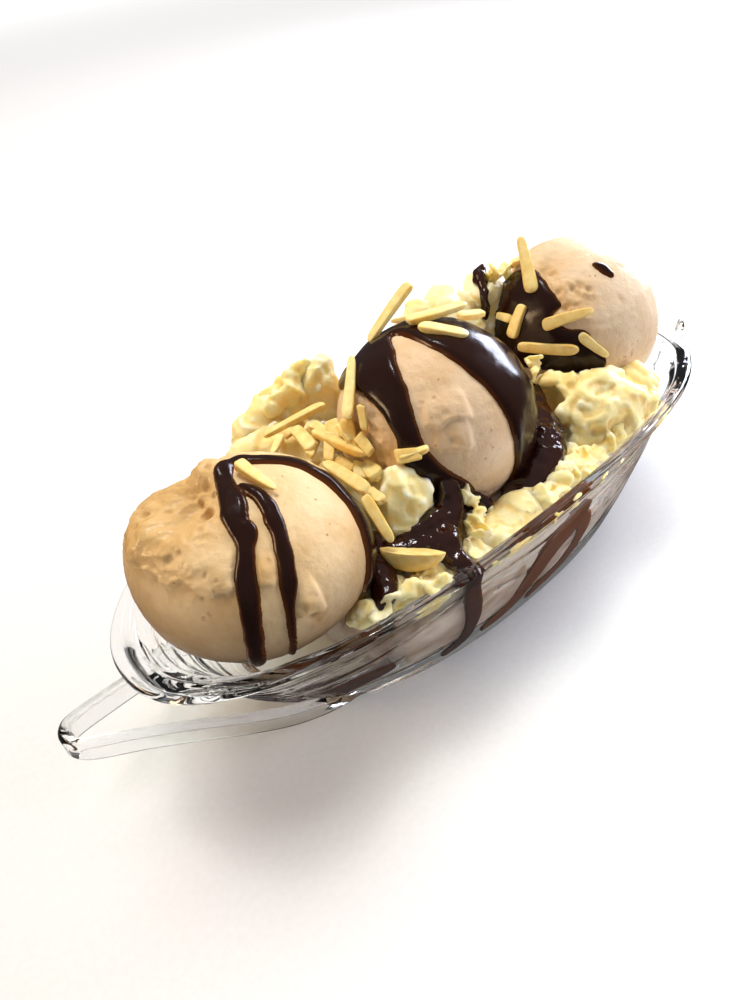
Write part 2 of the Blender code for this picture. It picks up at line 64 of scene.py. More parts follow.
LOG = logging.getLogger("banana_split")

Colour = tuple[float, float, float, float]
Place = tuple[float, float, float]


# --------------------------------------------------------------------------
# Uneven surfaces
# --------------------------------------------------------------------------


def scramble(cell: np.ndarray, seed: int) -> np.ndarray:
    """Turn whole-number cells into well mixed 32 bit numbers.

    Args:
        cell: one row of three whole numbers for each point.
        seed: which of many mixes to make.

    Returns:
        One number for each row.
    """
    key = (cell * (73856093, 19349663, 83492791)).sum(axis=1) + 2654435761 * seed
    key = (key ^ (key >> 15)) * 2246822519 & 0xFFFFFFFF
    key = (key ^ (key >> 13)) * 3266489917 & 0xFFFFFFFF
    return key ^ (key >> 16)


def unit_bytes(key: np.ndarray) -> np.ndarray:
    """Three numbers between 0 and 1 from each mixed number."""
    return np.stack([(key >> shift & 255) / 255 for shift in (0, 8, 16)], axis=1)


def lumps(points: np.ndarray, size: float, seed: int = 0) -> np.ndarray:
    """Smooth noise between about -1 and 1.

    Args:
        points: where to read it, mm.
        size: how far apart its lumps are, mm.
        seed: which of many patterns.

    Returns:
        One value for each point.
    """
    points = points / size
    cell = np.floor(points).astype(np.int64)
    part = points - cell
    fade = part**3 * (part * (6 * part - 15) + 10)
    total = np.zeros(len(points))
    for corner in product((0, 1), repeat=3):
        step = np.array(corner)
        slope = 2 * unit_bytes(scramble(cell + step, seed)) - 1
        weight = np.prod(np.where(step == 1, fade, 1 - fade), axis=1)
        total += weight * np.einsum("ij,ij->i", slope, part - step)
    return 1.4 * total


def rough(points: np.ndarray, size: float, octaves: int = 3, seed: int = 0) -> np.ndarray:
    """Noise on noise: each octave has half the size and half the height of the last."""
    return sum(lumps(points, size / 2**i, seed + i) / 2**i for i in range(octaves))


def creases(points: np.ndarray, size: float, octaves: int = 3, seed: int = 0) -> np.ndarray:
    """Sharp crests with round valleys between them, from about 0 to 1.6."""
    return sum(
        (1 - 2 * np.abs(lumps(points, size / 2**i, seed + i))).clip(0) ** 2 / 2**i
        for i in range(octaves)
    )


def pits(points: np.ndarray, size: float, seed: int = 0) -> np.ndarray:
    """Distance to the nearest of many scattered spots, as a share of their spacing."""
    points = points / size
    cell = np.floor(points).astype(np.int64)
    best = np.full(len(points), 9.0)
    for offset in product((-1, 0, 1), repeat=3):
        near = cell + np.array(offset)
        spot = near + unit_bytes(scramble(near, seed))
        best = np.minimum(best, np.linalg.norm(points - spot, axis=1))
    return best


def smooth_step(value: np.ndarray, start: float, end: float) -> np.ndarray:
    """0 before start, 1 after end, and a smooth slope between them."""
    share = np.clip((value - start) / (end - start), 0, 1)
    return share * share * (3 - 2 * share)


def through(points: Sequence[Sequence[float]], steps: int, closed: bool = False) -> np.ndarray:
    """Points along a smooth curve that passes through the given ones.

    Args:
        points: what the curve passes through, in any number of dimensions.
        steps: how many points to give for each stretch.
        closed: whether the curve comes back to its start.

    Returns:
        One row for each point of the curve.
    """
    known = np.array(points, float)
    if closed:
        known = np.vstack([known[-1:], known, known[:2]])
    else:
        known = np.vstack([2 * known[0] - known[1], known, 2 * known[-1] - known[-2]])
    share = np.linspace(0, 1, steps, endpoint=False)[:, None]
    rows = []
    for a, b, c, d in zip(known, known[1:], known[2:], known[3:]):
        rows.append(
            b
            + 0.5 * share * (c - a)
            + share**2 * (a - 2.5 * b + 2 * c - 0.5 * d)
            + share**3 * (1.5 * (b - c) + 0.5 * (d - a))
        )
    curve = np.vstack(rows)
    return curve if closed else np.vstack([curve, known[-2]])


def towards(longitude: float, latitude: float) -> np.ndarray:
    """Unit vector towards a longitude and latitude in degrees."""
    around, up = radians(longitude), radians(latitude)
    return np.array((cos(up) * cos(around), cos(up) * sin(around), sin(up)))


# --------------------------------------------------------------------------
# Meshes and pieces
# --------------------------------------------------------------------------


@lru_cache
def ball(level: int) -> tuple[np.ndarray, np.ndarray]:
    """Points and triangles of an evenly divided unit sphere."""
    built = bmesh.new()
    bmesh.ops.create_icosphere(built, subdivisions=level, radius=1.0)
    points = np.array([vert.co for vert in built.verts])
    faces = np.array([[vert.index for vert in face.verts] for face in built.faces])
    built.free()
    return points / np.linalg.norm(points, axis=1)[:, None], faces


def new_mesh(name: str, points: np.ndarray, faces: np.ndarray) -> bpy.types.Mesh:
    """A smooth mesh in metres from points in millimetres."""
    mesh = bpy.data.meshes.new(name)
    mesh.from_pydata((points * MM).tolist(), [], np.asarray(faces).tolist())
    mesh.validate()
    mesh.shade_smooth()
    return mesh


def mesh_points(mesh: bpy.types.Mesh) -> np.ndarray:
    """The mesh's points, mm."""
    points = np.empty(3 * len(mesh.vertices))
    mesh.vertices.foreach_get("co", points)
    return points.reshape(-1, 3) / MM


def mesh_normals(mesh: bpy.types.Mesh) -> np.ndarray:
    """The mesh's normals at its points."""
    normals = np.empty(3 * len(mesh.vertices))
    mesh.vertex_normals.foreach_get("vector", normals)
    return normals.reshape(-1, 3)


def move_points(mesh: bpy.types.Mesh, points: np.ndarray) -> None:
    """Give the mesh new points, in millimetres."""
    mesh.vertices.foreach_set("co", (points * MM).ravel())
    mesh.update()


def tag(mesh: bpy.types.Mesh, name: str, values: np.ndarray) -> None:
    """Store one number for each point, for the finish to read."""
    attribute = mesh.attributes.new(name, "FLOAT", "POINT")
    attribute.data.foreach_set("value", np.asarray(values, dtype=np.float32))


def node_mesh(node: str) -> bpy.types.Mesh:
    """A copy of a node's own mesh."""
    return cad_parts[node].data.copy()


def node_points(node: str) -> np.ndarray:
    """The points of a node's own mesh, mm."""
    return mesh_points(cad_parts[node].data)


def node_box(*nodes: str) -> tuple[np.ndarray, np.ndarray]:
    """Lowest and highest corner of the box round some nodes, mm."""
    corners = np.array([[tuple(corner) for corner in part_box(node)] for node in nodes]) / MM
    return corners[:, 0].min(axis=0), corners[:, 1].max(axis=0)


def with_modifiers(mesh: bpy.types.Mesh, *recipe: tuple[str, dict]) -> bpy.types.Mesh:
    """Run a mesh through modifiers and keep the result.

    Args:
        mesh: what to start from. It is removed.
        recipe: each modifier's type and settings, in order.

    Returns:
        A new mesh.
    """
    helper = bpy.data.objects.new("helper", mesh)
    bpy.context.scene.collection.objects.link(helper)
    for kind, settings in recipe:
        modifier = helper.modifiers.new(kind.lower(), kind)
        for key, value in settings.items():
            setattr(modifier, key, value)
    bpy.context.view_layer.update()
    graph = bpy.context.evaluated_depsgraph_get()
    made = bpy.data.meshes.new_from_object(helper.evaluated_get(graph))
    bpy.data.objects.remove(helper)
    bpy.data.meshes.remove(mesh)
    made.shade_smooth()
    return made


def melt_together(mesh: bpy.types.Mesh, voxel: float, rounds: int) -> bpy.types.Mesh:
    """One closed skin round everything in the mesh, softened.

    Args:
        mesh: closed shapes that may overlap. It is removed.
        voxel: size of the new mesh's cells, mm.
        rounds: how many times to smooth it.

    Returns:
        A new mesh.
    """
    return with_modifiers(
        mesh,
        ("REMESH", {"mode": "VOXEL", "voxel_size": voxel * MM, "use_smooth_shade": True}),
        ("SMOOTH", {"factor": 0.5, "iterations": rounds}),
    )


def joined(name: str, parts: Sequence[tuple[np.ndarray, np.ndarray]]) -> bpy.types.Mesh:
    """One mesh from several sets of points and faces of equal corner count."""
    start = 0
    points, faces = [], []
    for part_points, part_faces in parts:
        points.append(part_points)
        faces.append(part_faces + start)
        start += len(part_points)
    return new_mesh(name, np.vstack(points), np.vstack(faces))


def add_piece(
    name: str,
    mesh: bpy.types.Mesh,
    finish: bpy.types.Material,
    slot: str,
    stands_for: Sequence[str] = (),
) -> bpy.types.Object:
    """Put a finished mesh into the scene as one piece of the part.

    Args:
        name: the piece's name.
        mesh: its mesh, in place.
        finish: its material.
        slot: the record's material slot; not used.
        stands_for: the nodes that it replaces.

    Returns:
        The new object.
    """
    mesh.name = name
    mesh.materials.clear()
    mesh.materials.append(finish)
    piece = bpy.data.objects.new(name, mesh)
    bpy.context.scene.collection.objects.link(piece)
    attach(piece, BODY)
    if stands_for:
        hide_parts(*stands_for)
    LOG.info("%s: %d points, %d faces", name, len(mesh.vertices), len(mesh.polygons))
    return piece


# --------------------------------------------------------------------------
# Finishes
# --------------------------------------------------------------------------


def linear(colour: str) -> Colour:
    """Turn an sRGB hex colour such as #ffcc00 into linear numbers."""
    channels = [int(colour[i : i + 2], 16) / 255 for i in (1, 3, 5)]
    red, green, blue = (c / 12.92 if c <= 0.04045 else ((c + 0.055) / 1.055) ** 2.4 for c in channels)
    return red, green, blue, 1.0


def per_metre(size: float) -> float:
    """Texture scale that gives features of this size in mm."""
    return 1 / (size * MM)


def add_node(
    tree: bpy.types.NodeTree,
    kind: str,
    settings: dict[str | int, object] | None = None,
    links: dict[str | int, bpy.types.NodeSocket] | None = None,
) -> bpy.types.Node:
    """Add a node.

    Args:
        tree: the material's or the world's nodes.
        kind: the node's type, without the leading ShaderNode.
        settings: values by input name or number, or by property name.
        links: output sockets by the input that each goes into.

    Returns:
        The new node.
    """
    node = tree.nodes.new(f"ShaderNode{kind}")
    for key, value in (settings or {}).items():
        if isinstance(key, int) or key in node.inputs:
            node.inputs[key].default_value = value
        else:
            setattr(node, key, value)
    for key, socket in (links or {}).items():
        tree.links.new(socket, node.inputs[key])
    return node


def new_finish(name: str) -> tuple[bpy.types.Material, bpy.types.NodeTree, bpy.types.Node]:
    """A material, its nodes and its Principled shader."""
    made = bpy.data.materials.new(name)
    made.use_nodes = True
    return made, made.node_tree, made.node_tree.nodes["Principled BSDF"]


def place_in_row(tree: bpy.types.NodeTree) -> bpy.types.NodeSocket:
    """Where on the part a point is, in metres."""
    return add_node(tree, "TexCoord").outputs["Object"]


def blotches(
    tree: bpy.types.NodeTree, place: bpy.types.NodeSocket, size: float, detail: float = 3.0
) -> bpy.types.NodeSocket:
    """Cloudy noise with features of this size in mm, from 0 to 1."""
    settings = {"Scale": per_metre(size), "Detail": detail, "Roughness": 0.55}
    return add_node(tree, "TexNoise", settings, {"Vector": place}).outputs["Fac"]


def between(
    tree: bpy.types.NodeTree, fac: bpy.types.NodeSocket, low: float, high: float, start: float, end: float
) -> bpy.types.NodeSocket:
    """Map fac from low..high onto start..end, held at both ends."""
    settings = {"From Min": low, "From Max": high, "To Min": start, "To Max": end}
    return add_node(tree, "MapRange", settings, {"Value": fac}).outputs["Result"]


def mixed(
    tree: bpy.types.NodeTree, fac: bpy.types.NodeSocket, first: object, second: object
) -> bpy.types.NodeSocket:
    """Mix two colours, each a linear colour or a socket."""
    settings: dict[str | int, object] = {"data_type": "RGBA"}
    links: dict[str | int, bpy.types.NodeSocket] = {0: fac}
    for index, colour in ((6, first), (7, second)):
        if isinstance(colour, tuple):
            settings[index] = colour
        else:
            links[index] = colour
    return add_node(tree, "Mix", settings, links).outputs[2]


def relief(
    tree: bpy.types.NodeTree, heights: Sequence[tuple[bpy.types.NodeSocket, float]]
) -> bpy.types.NodeSocket:
    """Small bumps from height sockets and how high each is in mm."""
    normal = None
    for height, amount in heights:
        links = {"Height": height}
        if normal is not None:
            links["Normal"] = normal
        normal = add_node(tree, "Bump", {"Distance": amount * MM, "Strength": 1.0}, links).outputs["Normal"]
    return normal


def tagged(tree: bpy.types.NodeTree, name: str) -> bpy.types.NodeSocket:
    """What a mesh stored under this name, point by point."""
    return add_node(tree, "Attribute", {"attribute_name": name}).outputs["Fac"]


def height_in(tree: bpy.types.NodeTree, place: bpy.types.NodeSocket) -> bpy.types.NodeSocket:
    """The upward part of a place or direction."""
    return add_node(tree, "SeparateXYZ", links={0: place}).outputs["Z"]


def dress(
    tree: bpy.types.NodeTree,
    shader: bpy.types.Node,
    base: bpy.types.NodeSocket,
    roughness: float | bpy.types.NodeSocket,
    bumps: Sequence[tuple[bpy.types.NodeSocket, float]] = (),
) -> None:
    """Give a shader its colour, roughness and small bumps.

    Args:
        tree: the material's nodes.
        shader: its Principled shader.
        base: the colour.
        roughness: one number, or a socket where it varies.
        bumps: height sockets and how high each is in mm.
    """
    tree.links.new(base, shader.inputs["Base Color"])
    if isinstance(roughness, float):
        shader.inputs["Roughness"].default_value = roughness
    else:
        tree.links.new(roughness, shader.inputs["Roughness"])
    if bumps:
        tree.links.new(relief(tree, bumps), shader.inputs["Normal"])


def let_light_in(shader: bpy.types.Node, weight: float, depth: float, reach: Place = (1.0, 0.2, 0.1)) -> None:
    """Let light sink in and come out again near by.

    Args:
        shader: the Principled shader.
        weight: how much of the light does so.
        depth: how far it goes, mm.
        reach: how far red, green and blue go, as shares of the depth.
    """
    shader.inputs["Subsurface Weight"].default_value = weight
    shader.inputs["Subsurface Radius"].default_value = reach
    shader.inputs["Subsurface Scale"].default_value = depth * MM


@dataclass(frozen=True)
class PressedGlass:
    """Soda-lime glass pressed in a mould: clear, faintly wavy, a trace of grey-green in the thick parts."""

    colour: str = "#fbfdfe"
    shade: str = "#eef2f1"
    ior: float = 1.5
    ripple: float = 5.0
    ripple_height: float = 0.05

    def material(self) -> bpy.types.Material:
        """Build the finish. Lamps pass through it, so that what is inside stays lit."""
        made, tree, shader = new_finish("pressed_glass")
        shader.inputs["Base Color"].default_value = linear(self.colour)
        shader.inputs["Transmission Weight"].default_value = 1.0
        shader.inputs["Roughness"].default_value = 0.0
        shader.inputs["IOR"].default_value = self.ior
        place = place_in_row(tree)
        wave = blotches(tree, place, self.ripple, 1.0)
        tree.links.new(relief(tree, [(wave, self.ripple_height)]), shader.inputs["Normal"])
        path = add_node(tree, "LightPath")
        clear = add_node(tree, "BsdfTransparent", {"Color": linear(self.shade)})
        blend = add_node(
            tree,
            "MixShader",
            links={0: path.outputs["Is Shadow Ray"], 1: shader.outputs["BSDF"], 2: clear.outputs["BSDF"]},
        )
        tree.links.new(blend.outputs[0], tree.nodes["Material Output"].inputs["Surface"])
        return made


@dataclass(frozen=True)
class ChurnedIceCream:
    """Hazelnut ice cream: fine air bubbles make it matt and milky, and ground nuts leave brown specks.

    Towards its bottom it darkens, below a set height, to a painted shade colour: painted shade at a scoop's
    foot, together with the sauce soaked in there.
    """

    name: str
    light: str = "#e4caa2"
    dark: str = "#d4b383"
    melted: str = "#c49850"
    speck: str = "#8a5a33"
    speck_spacing: float = 3.4
    # Painted shade at the foot: its colour, the height where it starts and how far down it deepens.
    painted_foot_shade: str = "#573517"
    foot_shade_line: float = 0.0
    foot_shade_depth: float = 22.0

    def material(self) -> bpy.types.Material:
        """Build the finish."""
        made, tree, shader = new_finish(self.name)
        place = place_in_row(tree)
        clouds = between(tree, blotches(tree, place, 16.0), 0.35, 0.68, 0.0, 1.0)
        base = mixed(tree, clouds, linear(self.light), linear(self.dark))
        spots = add_node(
            tree, "TexVoronoi", {"Scale": per_metre(self.speck_spacing), "Randomness": 1.0}, {"Vector": place}
        ).outputs["Distance"]
        few = between(tree, blotches(tree, place, 9.0), 0.5, 0.62, 0.0, 1.0)
        dots = between(tree, spots, 0.07, 0.13, 0.75, 0.0)
        both = add_node(tree, "Math", {"operation": "MULTIPLY"}, {0: dots, 1: few}).outputs[0]
        base = mixed(tree, both, base, linear(self.speck))
        torn = tagged(tree, "torn")
        base = mixed(tree, between(tree, torn, 0.1, 1.0, 0.0, 0.5), base, linear(self.melted))
        # Painted shade: the colour darkens towards the bottom, below the set height.
        low, high = (self.foot_shade_line - self.foot_shade_depth) * MM, self.foot_shade_line * MM
        foot_shading = between(tree, height_in(tree, place), low, high, 1.0, 0.0)
        base = mixed(tree, foot_shading, base, linear(self.painted_foot_shade))
        wet = between(tree, torn, 0.2, 1.0, 0.46, 0.2)
        grain = blotches(tree, place, 0.9, 2.0)
        bubbles = blotches(tree, place, 2.6, 3.0)
        dress(tree, shader, base, wet, [(bubbles, 0.22), (grain, 0.10)])
        shader.inputs["Specular IOR Level"].default_value = 0.35
        let_light_in(shader, 0.2, 1.6, (1.0, 0.8, 0.5))
        return made


@dataclass(frozen=True)
class WhippedCream:
    """Rich cream torn off in lumps, fatty, in soft clouds from nearly white to buttery yellow; its folds get
    painted shade in the buttery yellow and its tips a painted highlight in near white.
    """

    name: str = "whipped_cream"
    light: str = "#ffeeba"
    dark: str = "#fad67e"
    tip_highlight: str = "#fff7df"

    def material(self) -> bpy.types.Material:
        """Build the finish."""
        made, tree, shader = new_finish(self.name)
        place = place_in_row(tree)
        clouds = between(tree, blotches(tree, place, 11.0), 0.38, 0.66, 0.0, 0.7)
        # Painted shade: the buttery yellow in the folds. Painted highlight: near white on the tips.
        painted_fold_shade = tagged(tree, "painted_fold_shade")
        base = mixed(tree, clouds, linear(self.light), linear(self.dark))
        base = mixed(tree, between(tree, painted_fold_shade, 0.0, 1.0, 0.0, 1.0), base, linear(self.dark))
        base = mixed(tree, between(tree, painted_fold_shade, -0.7, 0.0, 0.8, 0.0), base, linear(self.tip_highlight))
        crumb = blotches(tree, place, 1.6, 3.0)
        dress(tree, shader, base, 0.42, [(crumb, 0.2)])
        shader.inputs["Specular IOR Level"].default_value = 0.4
        let_light_in(shader, 0.6, 4.0, (1.0, 0.85, 0.45))
        return made


@dataclass(frozen=True)
class ChocolateSauce:
    """Poured dark chocolate sauce: nearly black and glossy, brown where it thins out."""

    name: str
    thick: str = "#210c05"
    thin: str = "#854506"
    gloss: float = 0.4
    roughness: float = 0.12
    swell: float = 3.5
    swell_height: float = 0.12

    def material(self) -> bpy.types.Material:
        """Build the finish."""
        made, tree, shader = new_finish(self.name)
        place = place_in_row(tree)
        base = mixed(tree, tagged(tree, "thin"), linear(self.thick), linear(self.thin))
        haze = between(tree, blotches(tree, place, 6.0), 0.3, 0.7, self.roughness, 1.8 * self.roughness)
        swell = blotches(tree, place, self.swell, 2.0)
        dress(tree, shader, base, haze, [(swell, self.swell_height)])
        shader.inputs["Specular IOR Level"].default_value = self.gloss
        return made


@dataclass(frozen=True)
class BlanchedAlmond:
    """Almonds blanched and split lengthwise: ivory, waxy, golden along the cut edges."""

    name: str = "blanched_almond"
    light: str = "#f6e4a0"
    dark: str = "#dbaf4a"

    def material(self) -> bpy.types.Material:
        """Build the finish."""
        made, tree, shader = new_finish(self.name)
        place = place_in_row(tree)
        tone = tagged(tree, "tone")
        streak = between(tree, blotches(tree, place, 2.2), 0.35, 0.65, -0.15, 0.15)
        total = add_node(tree, "Math", {"operation": "ADD", "use_clamp": True}, {0: tone, 1: streak})
        base = mixed(tree, total.outputs[0], linear(self.light), linear(self.dark))
        grain = blotches(tree, place, 0.8, 2.0)
        dress(tree, shader, base, 0.42, [(grain, 0.06)])
        let_light_in(shader, 0.3, 1.2, (1.0, 0.75, 0.3))
        return made


@dataclass(frozen=True)
class RipeBanana:
    """Cut banana flesh: pale, moist, pinkish beige, a little bruised."""

    light: str = "#e4d6c6"
    dark: str = "#c2aa94"
    bruise: str = "#6d4a33"

    def material(self) -> bpy.types.Material:
        """Build the finish."""
        made, tree, shader = new_finish("ripe_banana")
        place = place_in_row(tree)
        stretched = add_node(tree, "Mapping", {"Scale": (0.3, 1.0, 1.0)}, {"Vector": place}).outputs[0]
        clouds = between(tree, blotches(tree, stretched, 5.0, 4.0), 0.38, 0.66, 0.0, 1.0)
        base = mixed(tree, clouds, linear(self.light), linear(self.dark))
        spots = between(tree, blotches(tree, stretched, 7.0, 2.0), 0.68, 0.74, 0.0, 0.8)
        base = mixed(tree, spots, base, linear(self.bruise))
        fibre = blotches(tree, stretched, 1.5, 3.0)
        dress(tree, shader, base, 0.4, [(fibre, 0.15)])
        let_light_in(shader, 0.2, 2.0, (1.0, 0.7, 0.4))
        return made


@dataclass(frozen=True)
class MeltedCream:
    """Ice cream melted into cream, with sauce drawn through it in streaks."""

    light: str = "#e0d2c2"
    dark: str = "#98785c"
    streak: str = "#3a1a0c"
    top: str = "#f0dc9a"

    def material(self) -> bpy.types.Material:
        """Build the finish."""
        made, tree, shader = new_finish("melted_cream")
        place = place_in_row(tree)
        drawn = add_node(
            tree, "Mapping", {"Scale": (0.35, 1.0, 1.0), "Rotation": (0.0, -0.5, 0.0)}, {"Vector": place}
        ).outputs[0]
        clouds = between(tree, blotches(tree, drawn, 9.0, 3.0), 0.36, 0.66, 0.0, 1.0)
        base = mixed(tree, clouds, linear(self.light), linear(self.dark))
        sauce = between(tree, blotches(tree, drawn, 14.0, 3.0), 0.57, 0.63, 0.0, 1.0)
        base = mixed(tree, sauce, base, linear(self.streak))
        top = between(tree, height_in(tree, place), 37.0 * MM, 41.0 * MM, 0.0, 1.0)
        base = mixed(tree, top, base, linear(self.top))
        dress(tree, shader, base, 0.3)
        let_light_in(shader, 0.15, 2.0)
        return made


@dataclass(frozen=True)
class StudioPaper:
    """Matt white background paper with a very faint fibre; a glow keeps it white far from the lamps."""

    colour: str = "#dcdcdc"
    fibre: str = "#e0e0e0"
    glow_start: float = 0.7
    glow_end: float = 1.8
    glow: float = 0.8

    def material(self) -> bpy.types.Material:
        """Build the finish."""
        made, tree, shader = new_finish("studio_paper")
        place = place_in_row(tree)
        fibre = between(tree, blotches(tree, place, 2.0), 0.3, 0.7, 0.0, 1.0)
        base = mixed(tree, fibre, linear(self.colour), linear(self.fibre))
        dress(tree, shader, base, 0.9)
        shader.inputs["Specular IOR Level"].default_value = 0.1
        away = add_node(tree, "VectorMath", {"operation": "LENGTH"}, {0: place}).outputs["Value"]
        glow = between(tree, away, self.glow_start, self.glow_end, 0.0, self.glow)
        tree.links.new(glow, shader.inputs["Emission Strength"])
        shader.inputs["Emission Color"].default_value = linear("#ffffff")
        return made


# --------------------------------------------------------------------------
# Glass boat
# --------------------------------------------------------------------------


class End(Enum):
    """An end of the dish, as the sign that turns the near handle's arm towards it."""

    NEAR = 1
    FAR = -1


def squared(value: float, power: float) -> float:
    """A cosine or sine pushed towards its ends, which turns a circle into a rounded square."""
    return abs(value) ** power * (1 if value > 0 else -1)


def skin(rings: Sequence[np.ndarray]) -> bpy.types.Mesh:
    """Join closed rings with equal numbers of points into one closed body."""
    count, around = len(rings), len(rings[0])
    step = np.arange(around)
    following = (step + 1) % around
    faces = []
    for row in range(count - 1):
        low, high = row * around, (row + 1) * around
        corners = (low + step, low + following, high + following, high + step)
        faces += [tuple(corner) for corner in np.stack(corners, axis=1).tolist()]
    faces.append(tuple(reversed(range(around))))
    faces.append(tuple(range((count - 1) * around, count * around)))
    mesh = bpy.data.meshes.new("rings")
    mesh.from_pydata((np.vstack(rings) * MM).tolist(), [], faces)
    return mesh


@dataclass
class GlassBoat:
    """The long glass dish: foot, swelling wall, turned-out lip and a loop handle at each end."""

    node: str = "glass_dish"
    rim_height: float = 46.0
    rim_dip: float = 8.0
    foot: tuple[float, float] = (83.0, 39.5)
    belly: tuple[float, float] = (22.0, 6.0)
    rim: tuple[float, float] = (119.0, 50.0)
    lip_power: int = 5
    wall: float = 3.8
    floor: float = 6.0
    rim_round: float = 1.5
    plan_power: float = 2.24
    handle_arm: tuple[Place, ...] = (
        (-138.0, 0.0, 28.0), (-135.5, 4.6, 27.4), (-122.0, 9.6, 22.6), (-110.0, 14.0, 17.6),
        (-97.0, 19.0, 12.0), (-84.0, 23.6, 7.8), (-70.0, 26.4, 5.4), (-56.0, 27.0, 5.2),
    )
    handle: tuple[float, float] = (1.6, 4.0)
    handle_square: float = 0.55
    handle_sides: int = 28
    sides: int = 240

    def half_size(self, share: float, axis: int) -> tuple[float, float]:
        """Outer half size at a share of the rim's height, and how fast it grows with that share."""
        foot, belly, rim = self.foot[axis], self.belly[axis], self.rim[axis]
        lip = rim - foot - belly
        size = foot + belly * (1 - (1 - share) ** 2) + lip * share**self.lip_power
        growth = 2 * belly * (1 - share) + self.lip_power * lip * share ** (self.lip_power - 1)
        return size, growth

    def inside(self, x: float, height: float) -> float:
        """Half width of the inside at this place along X and this height."""
        share = height / (self.rim_height - self.rim_dip / 2)
        half_x, half_y = (self.half_size(share, axis)[0] - self.wall for axis in (0, 1))
        reach = max(0.0, 1 - abs(x / half_x) ** self.plan_power)
        return half_y * reach ** (1 / self.plan_power)

    def rim_at(self, x: float | np.ndarray) -> float | np.ndarray:
        """Height of the rim at this place along X."""
        return self.rim_height - self.rim_dip * (x / self.rim[0]) ** 2

    def plan(self) -> np.ndarray:
        """The unit outline."""
        angle = 2 * pi * (np.arange(self.sides) + 0.5) / self.sides
        outline = np.stack([np.cos(angle), np.sin(angle)], axis=1)
        return np.sign(outline) * np.abs(outline) ** (2 / self.plan_power)

    def swirl(self, share: float) -> np.ndarray:
        """The mould's shallow swirls, which run round the lip and drift up and down."""
        angle = 2 * pi * (np.arange(self.sides) + 0.5) / self.sides
        drift = 0.55 * np.sin(2 * angle + 0.6) + 0.3 * np.sin(5 * angle + 1.9) + 0.12 * np.sin(11 * angle)
        ends = 0.2 + 0.8 * smooth_step(np.abs(np.cos(angle)), 0.6, 0.92)
        depth = ends * smooth_step(np.array(share), 0.1, 0.55) * (1 - smooth_step(np.array(share), 0.93, 1.0))
        broad = 0.6 * np.sin(2 * pi * (4.5 * share + drift))
        narrow = 0.4 * np.sin(2 * pi * (11.0 * share + 2.3 * drift))
        return depth * (broad + narrow)

    def ring(
        self, share: float, inset: float, rise: float = 0.0, walls: float = 0.0, wave: float = 0.0
    ) -> np.ndarray:
        """One ring round the dish.

        Args:
            share: height as a share of the rim's height at each place.
            inset: level distance inwards from the outer surface.
            rise: height added.
            walls: number of wall thicknesses inwards, square to the wall.
            wave: how deep the mould's swirls are.

        Returns:
            The ring's points.
        """
        plan = self.plan()
        top = (self.rim_height - self.rim_dip, self.rim_height)
        reach = np.empty(2)
        for axis in (0, 1):
            size, growth = self.half_size(share, axis)
            reach[axis] = size - inset - walls * self.wall * sqrt(1 + (growth / top[axis]) ** 2)
        swirls = wave * self.swirl(share)[:, None]
        level = plan * (reach - np.abs(swirls) * 0.5 + swirls * 0.5)
        height = share * (self.rim_height - self.rim_dip * plan[:, 0] ** 2) + rise
        return np.column_stack([level, height])

    def flat_ring(self, share: float, scale: float, height: float) -> np.ndarray:
        """A level ring with the inner wall's outline, scaled."""
        ring = self.ring(share, 0.0, walls=1.0) * (scale, scale, 0)
        return ring + (0, 0, height)

    def full_body(self) -> bpy.types.Mesh:
        """The dish as if it were full."""
        rings = [self.ring(0.0, 0.8), self.ring(0.008, 0.25), self.ring(0.02, 0.0)]
        rings += [self.ring(share, 0.0, wave=0.5) for share in np.linspace(0.05, 0.955, 64)]
        for turn in np.linspace(0, pi / 2, 6):
            round_in, drop = self.rim_round * (1 - cos(turn)), self.rim_round * (1 - sin(turn))
            rings.append(self.ring(1.0, round_in, -drop))
        return skin(rings)

    def space(self) -> bpy.types.Mesh:
        """What the dish holds, open above the rim."""
        rings = [self.flat_ring(0.16, 0.70, self.floor), self.flat_ring(0.16, 0.90, self.floor + 0.6)]
        rings += [self.flat_ring(0.18, 0.965, self.floor + 1.8), self.flat_ring(0.20, 1.0, self.floor + 3.6)]
        rings += [self.ring(share, 0.0, walls=1.0, wave=0.9) for share in np.linspace(0.22, 0.95, 62)]
        for turn in np.linspace(0, pi / 2, 6):
            round_in, drop = self.rim_round * (1 - cos(turn)), self.rim_round * (1 - sin(turn))
            rings.append(self.ring(1.0, -round_in, -drop, 1.0))
        rings.append(self.ring(1.0, -2 * self.rim_round, 10.0, 1.0))
        return skin(rings)

    def handle_loop(self, end: End) -> bpy.types.Mesh:
        """One loop handle, swept from the foot round the tip and back to the foot."""
        arm = [(end.value * x, y, z) for x, y, z in self.handle_arm]
        route = through([(x, -y, z) for x, y, z in arm[:0:-1]] + arm, 10)
        ahead = np.gradient(route, axis=0)
        ahead /= np.linalg.norm(ahead, axis=1)[:, None]
        across = np.cross(ahead, (0, 0, 1))
        across /= np.linalg.norm(across, axis=1)[:, None]
        upward = np.cross(across, ahead)
        turns = 2 * pi * np.arange(self.handle_sides) / self.handle_sides
        half_w, half_h = self.handle
        rings = []
        for middle, sideways, up in zip(route, across, upward):
            section = []
            for turn in turns:
                wide = squared(cos(turn), self.handle_square)
                high = squared(sin(turn), self.handle_square)
                groove = 1 - 0.16 * cos(2.2 * pi * high) * (abs(wide) > 0.6)
                section.append(middle + sideways * wide * half_w * groove + up * high * half_h)
            rings.append(np.array(section))
        return skin(rings)

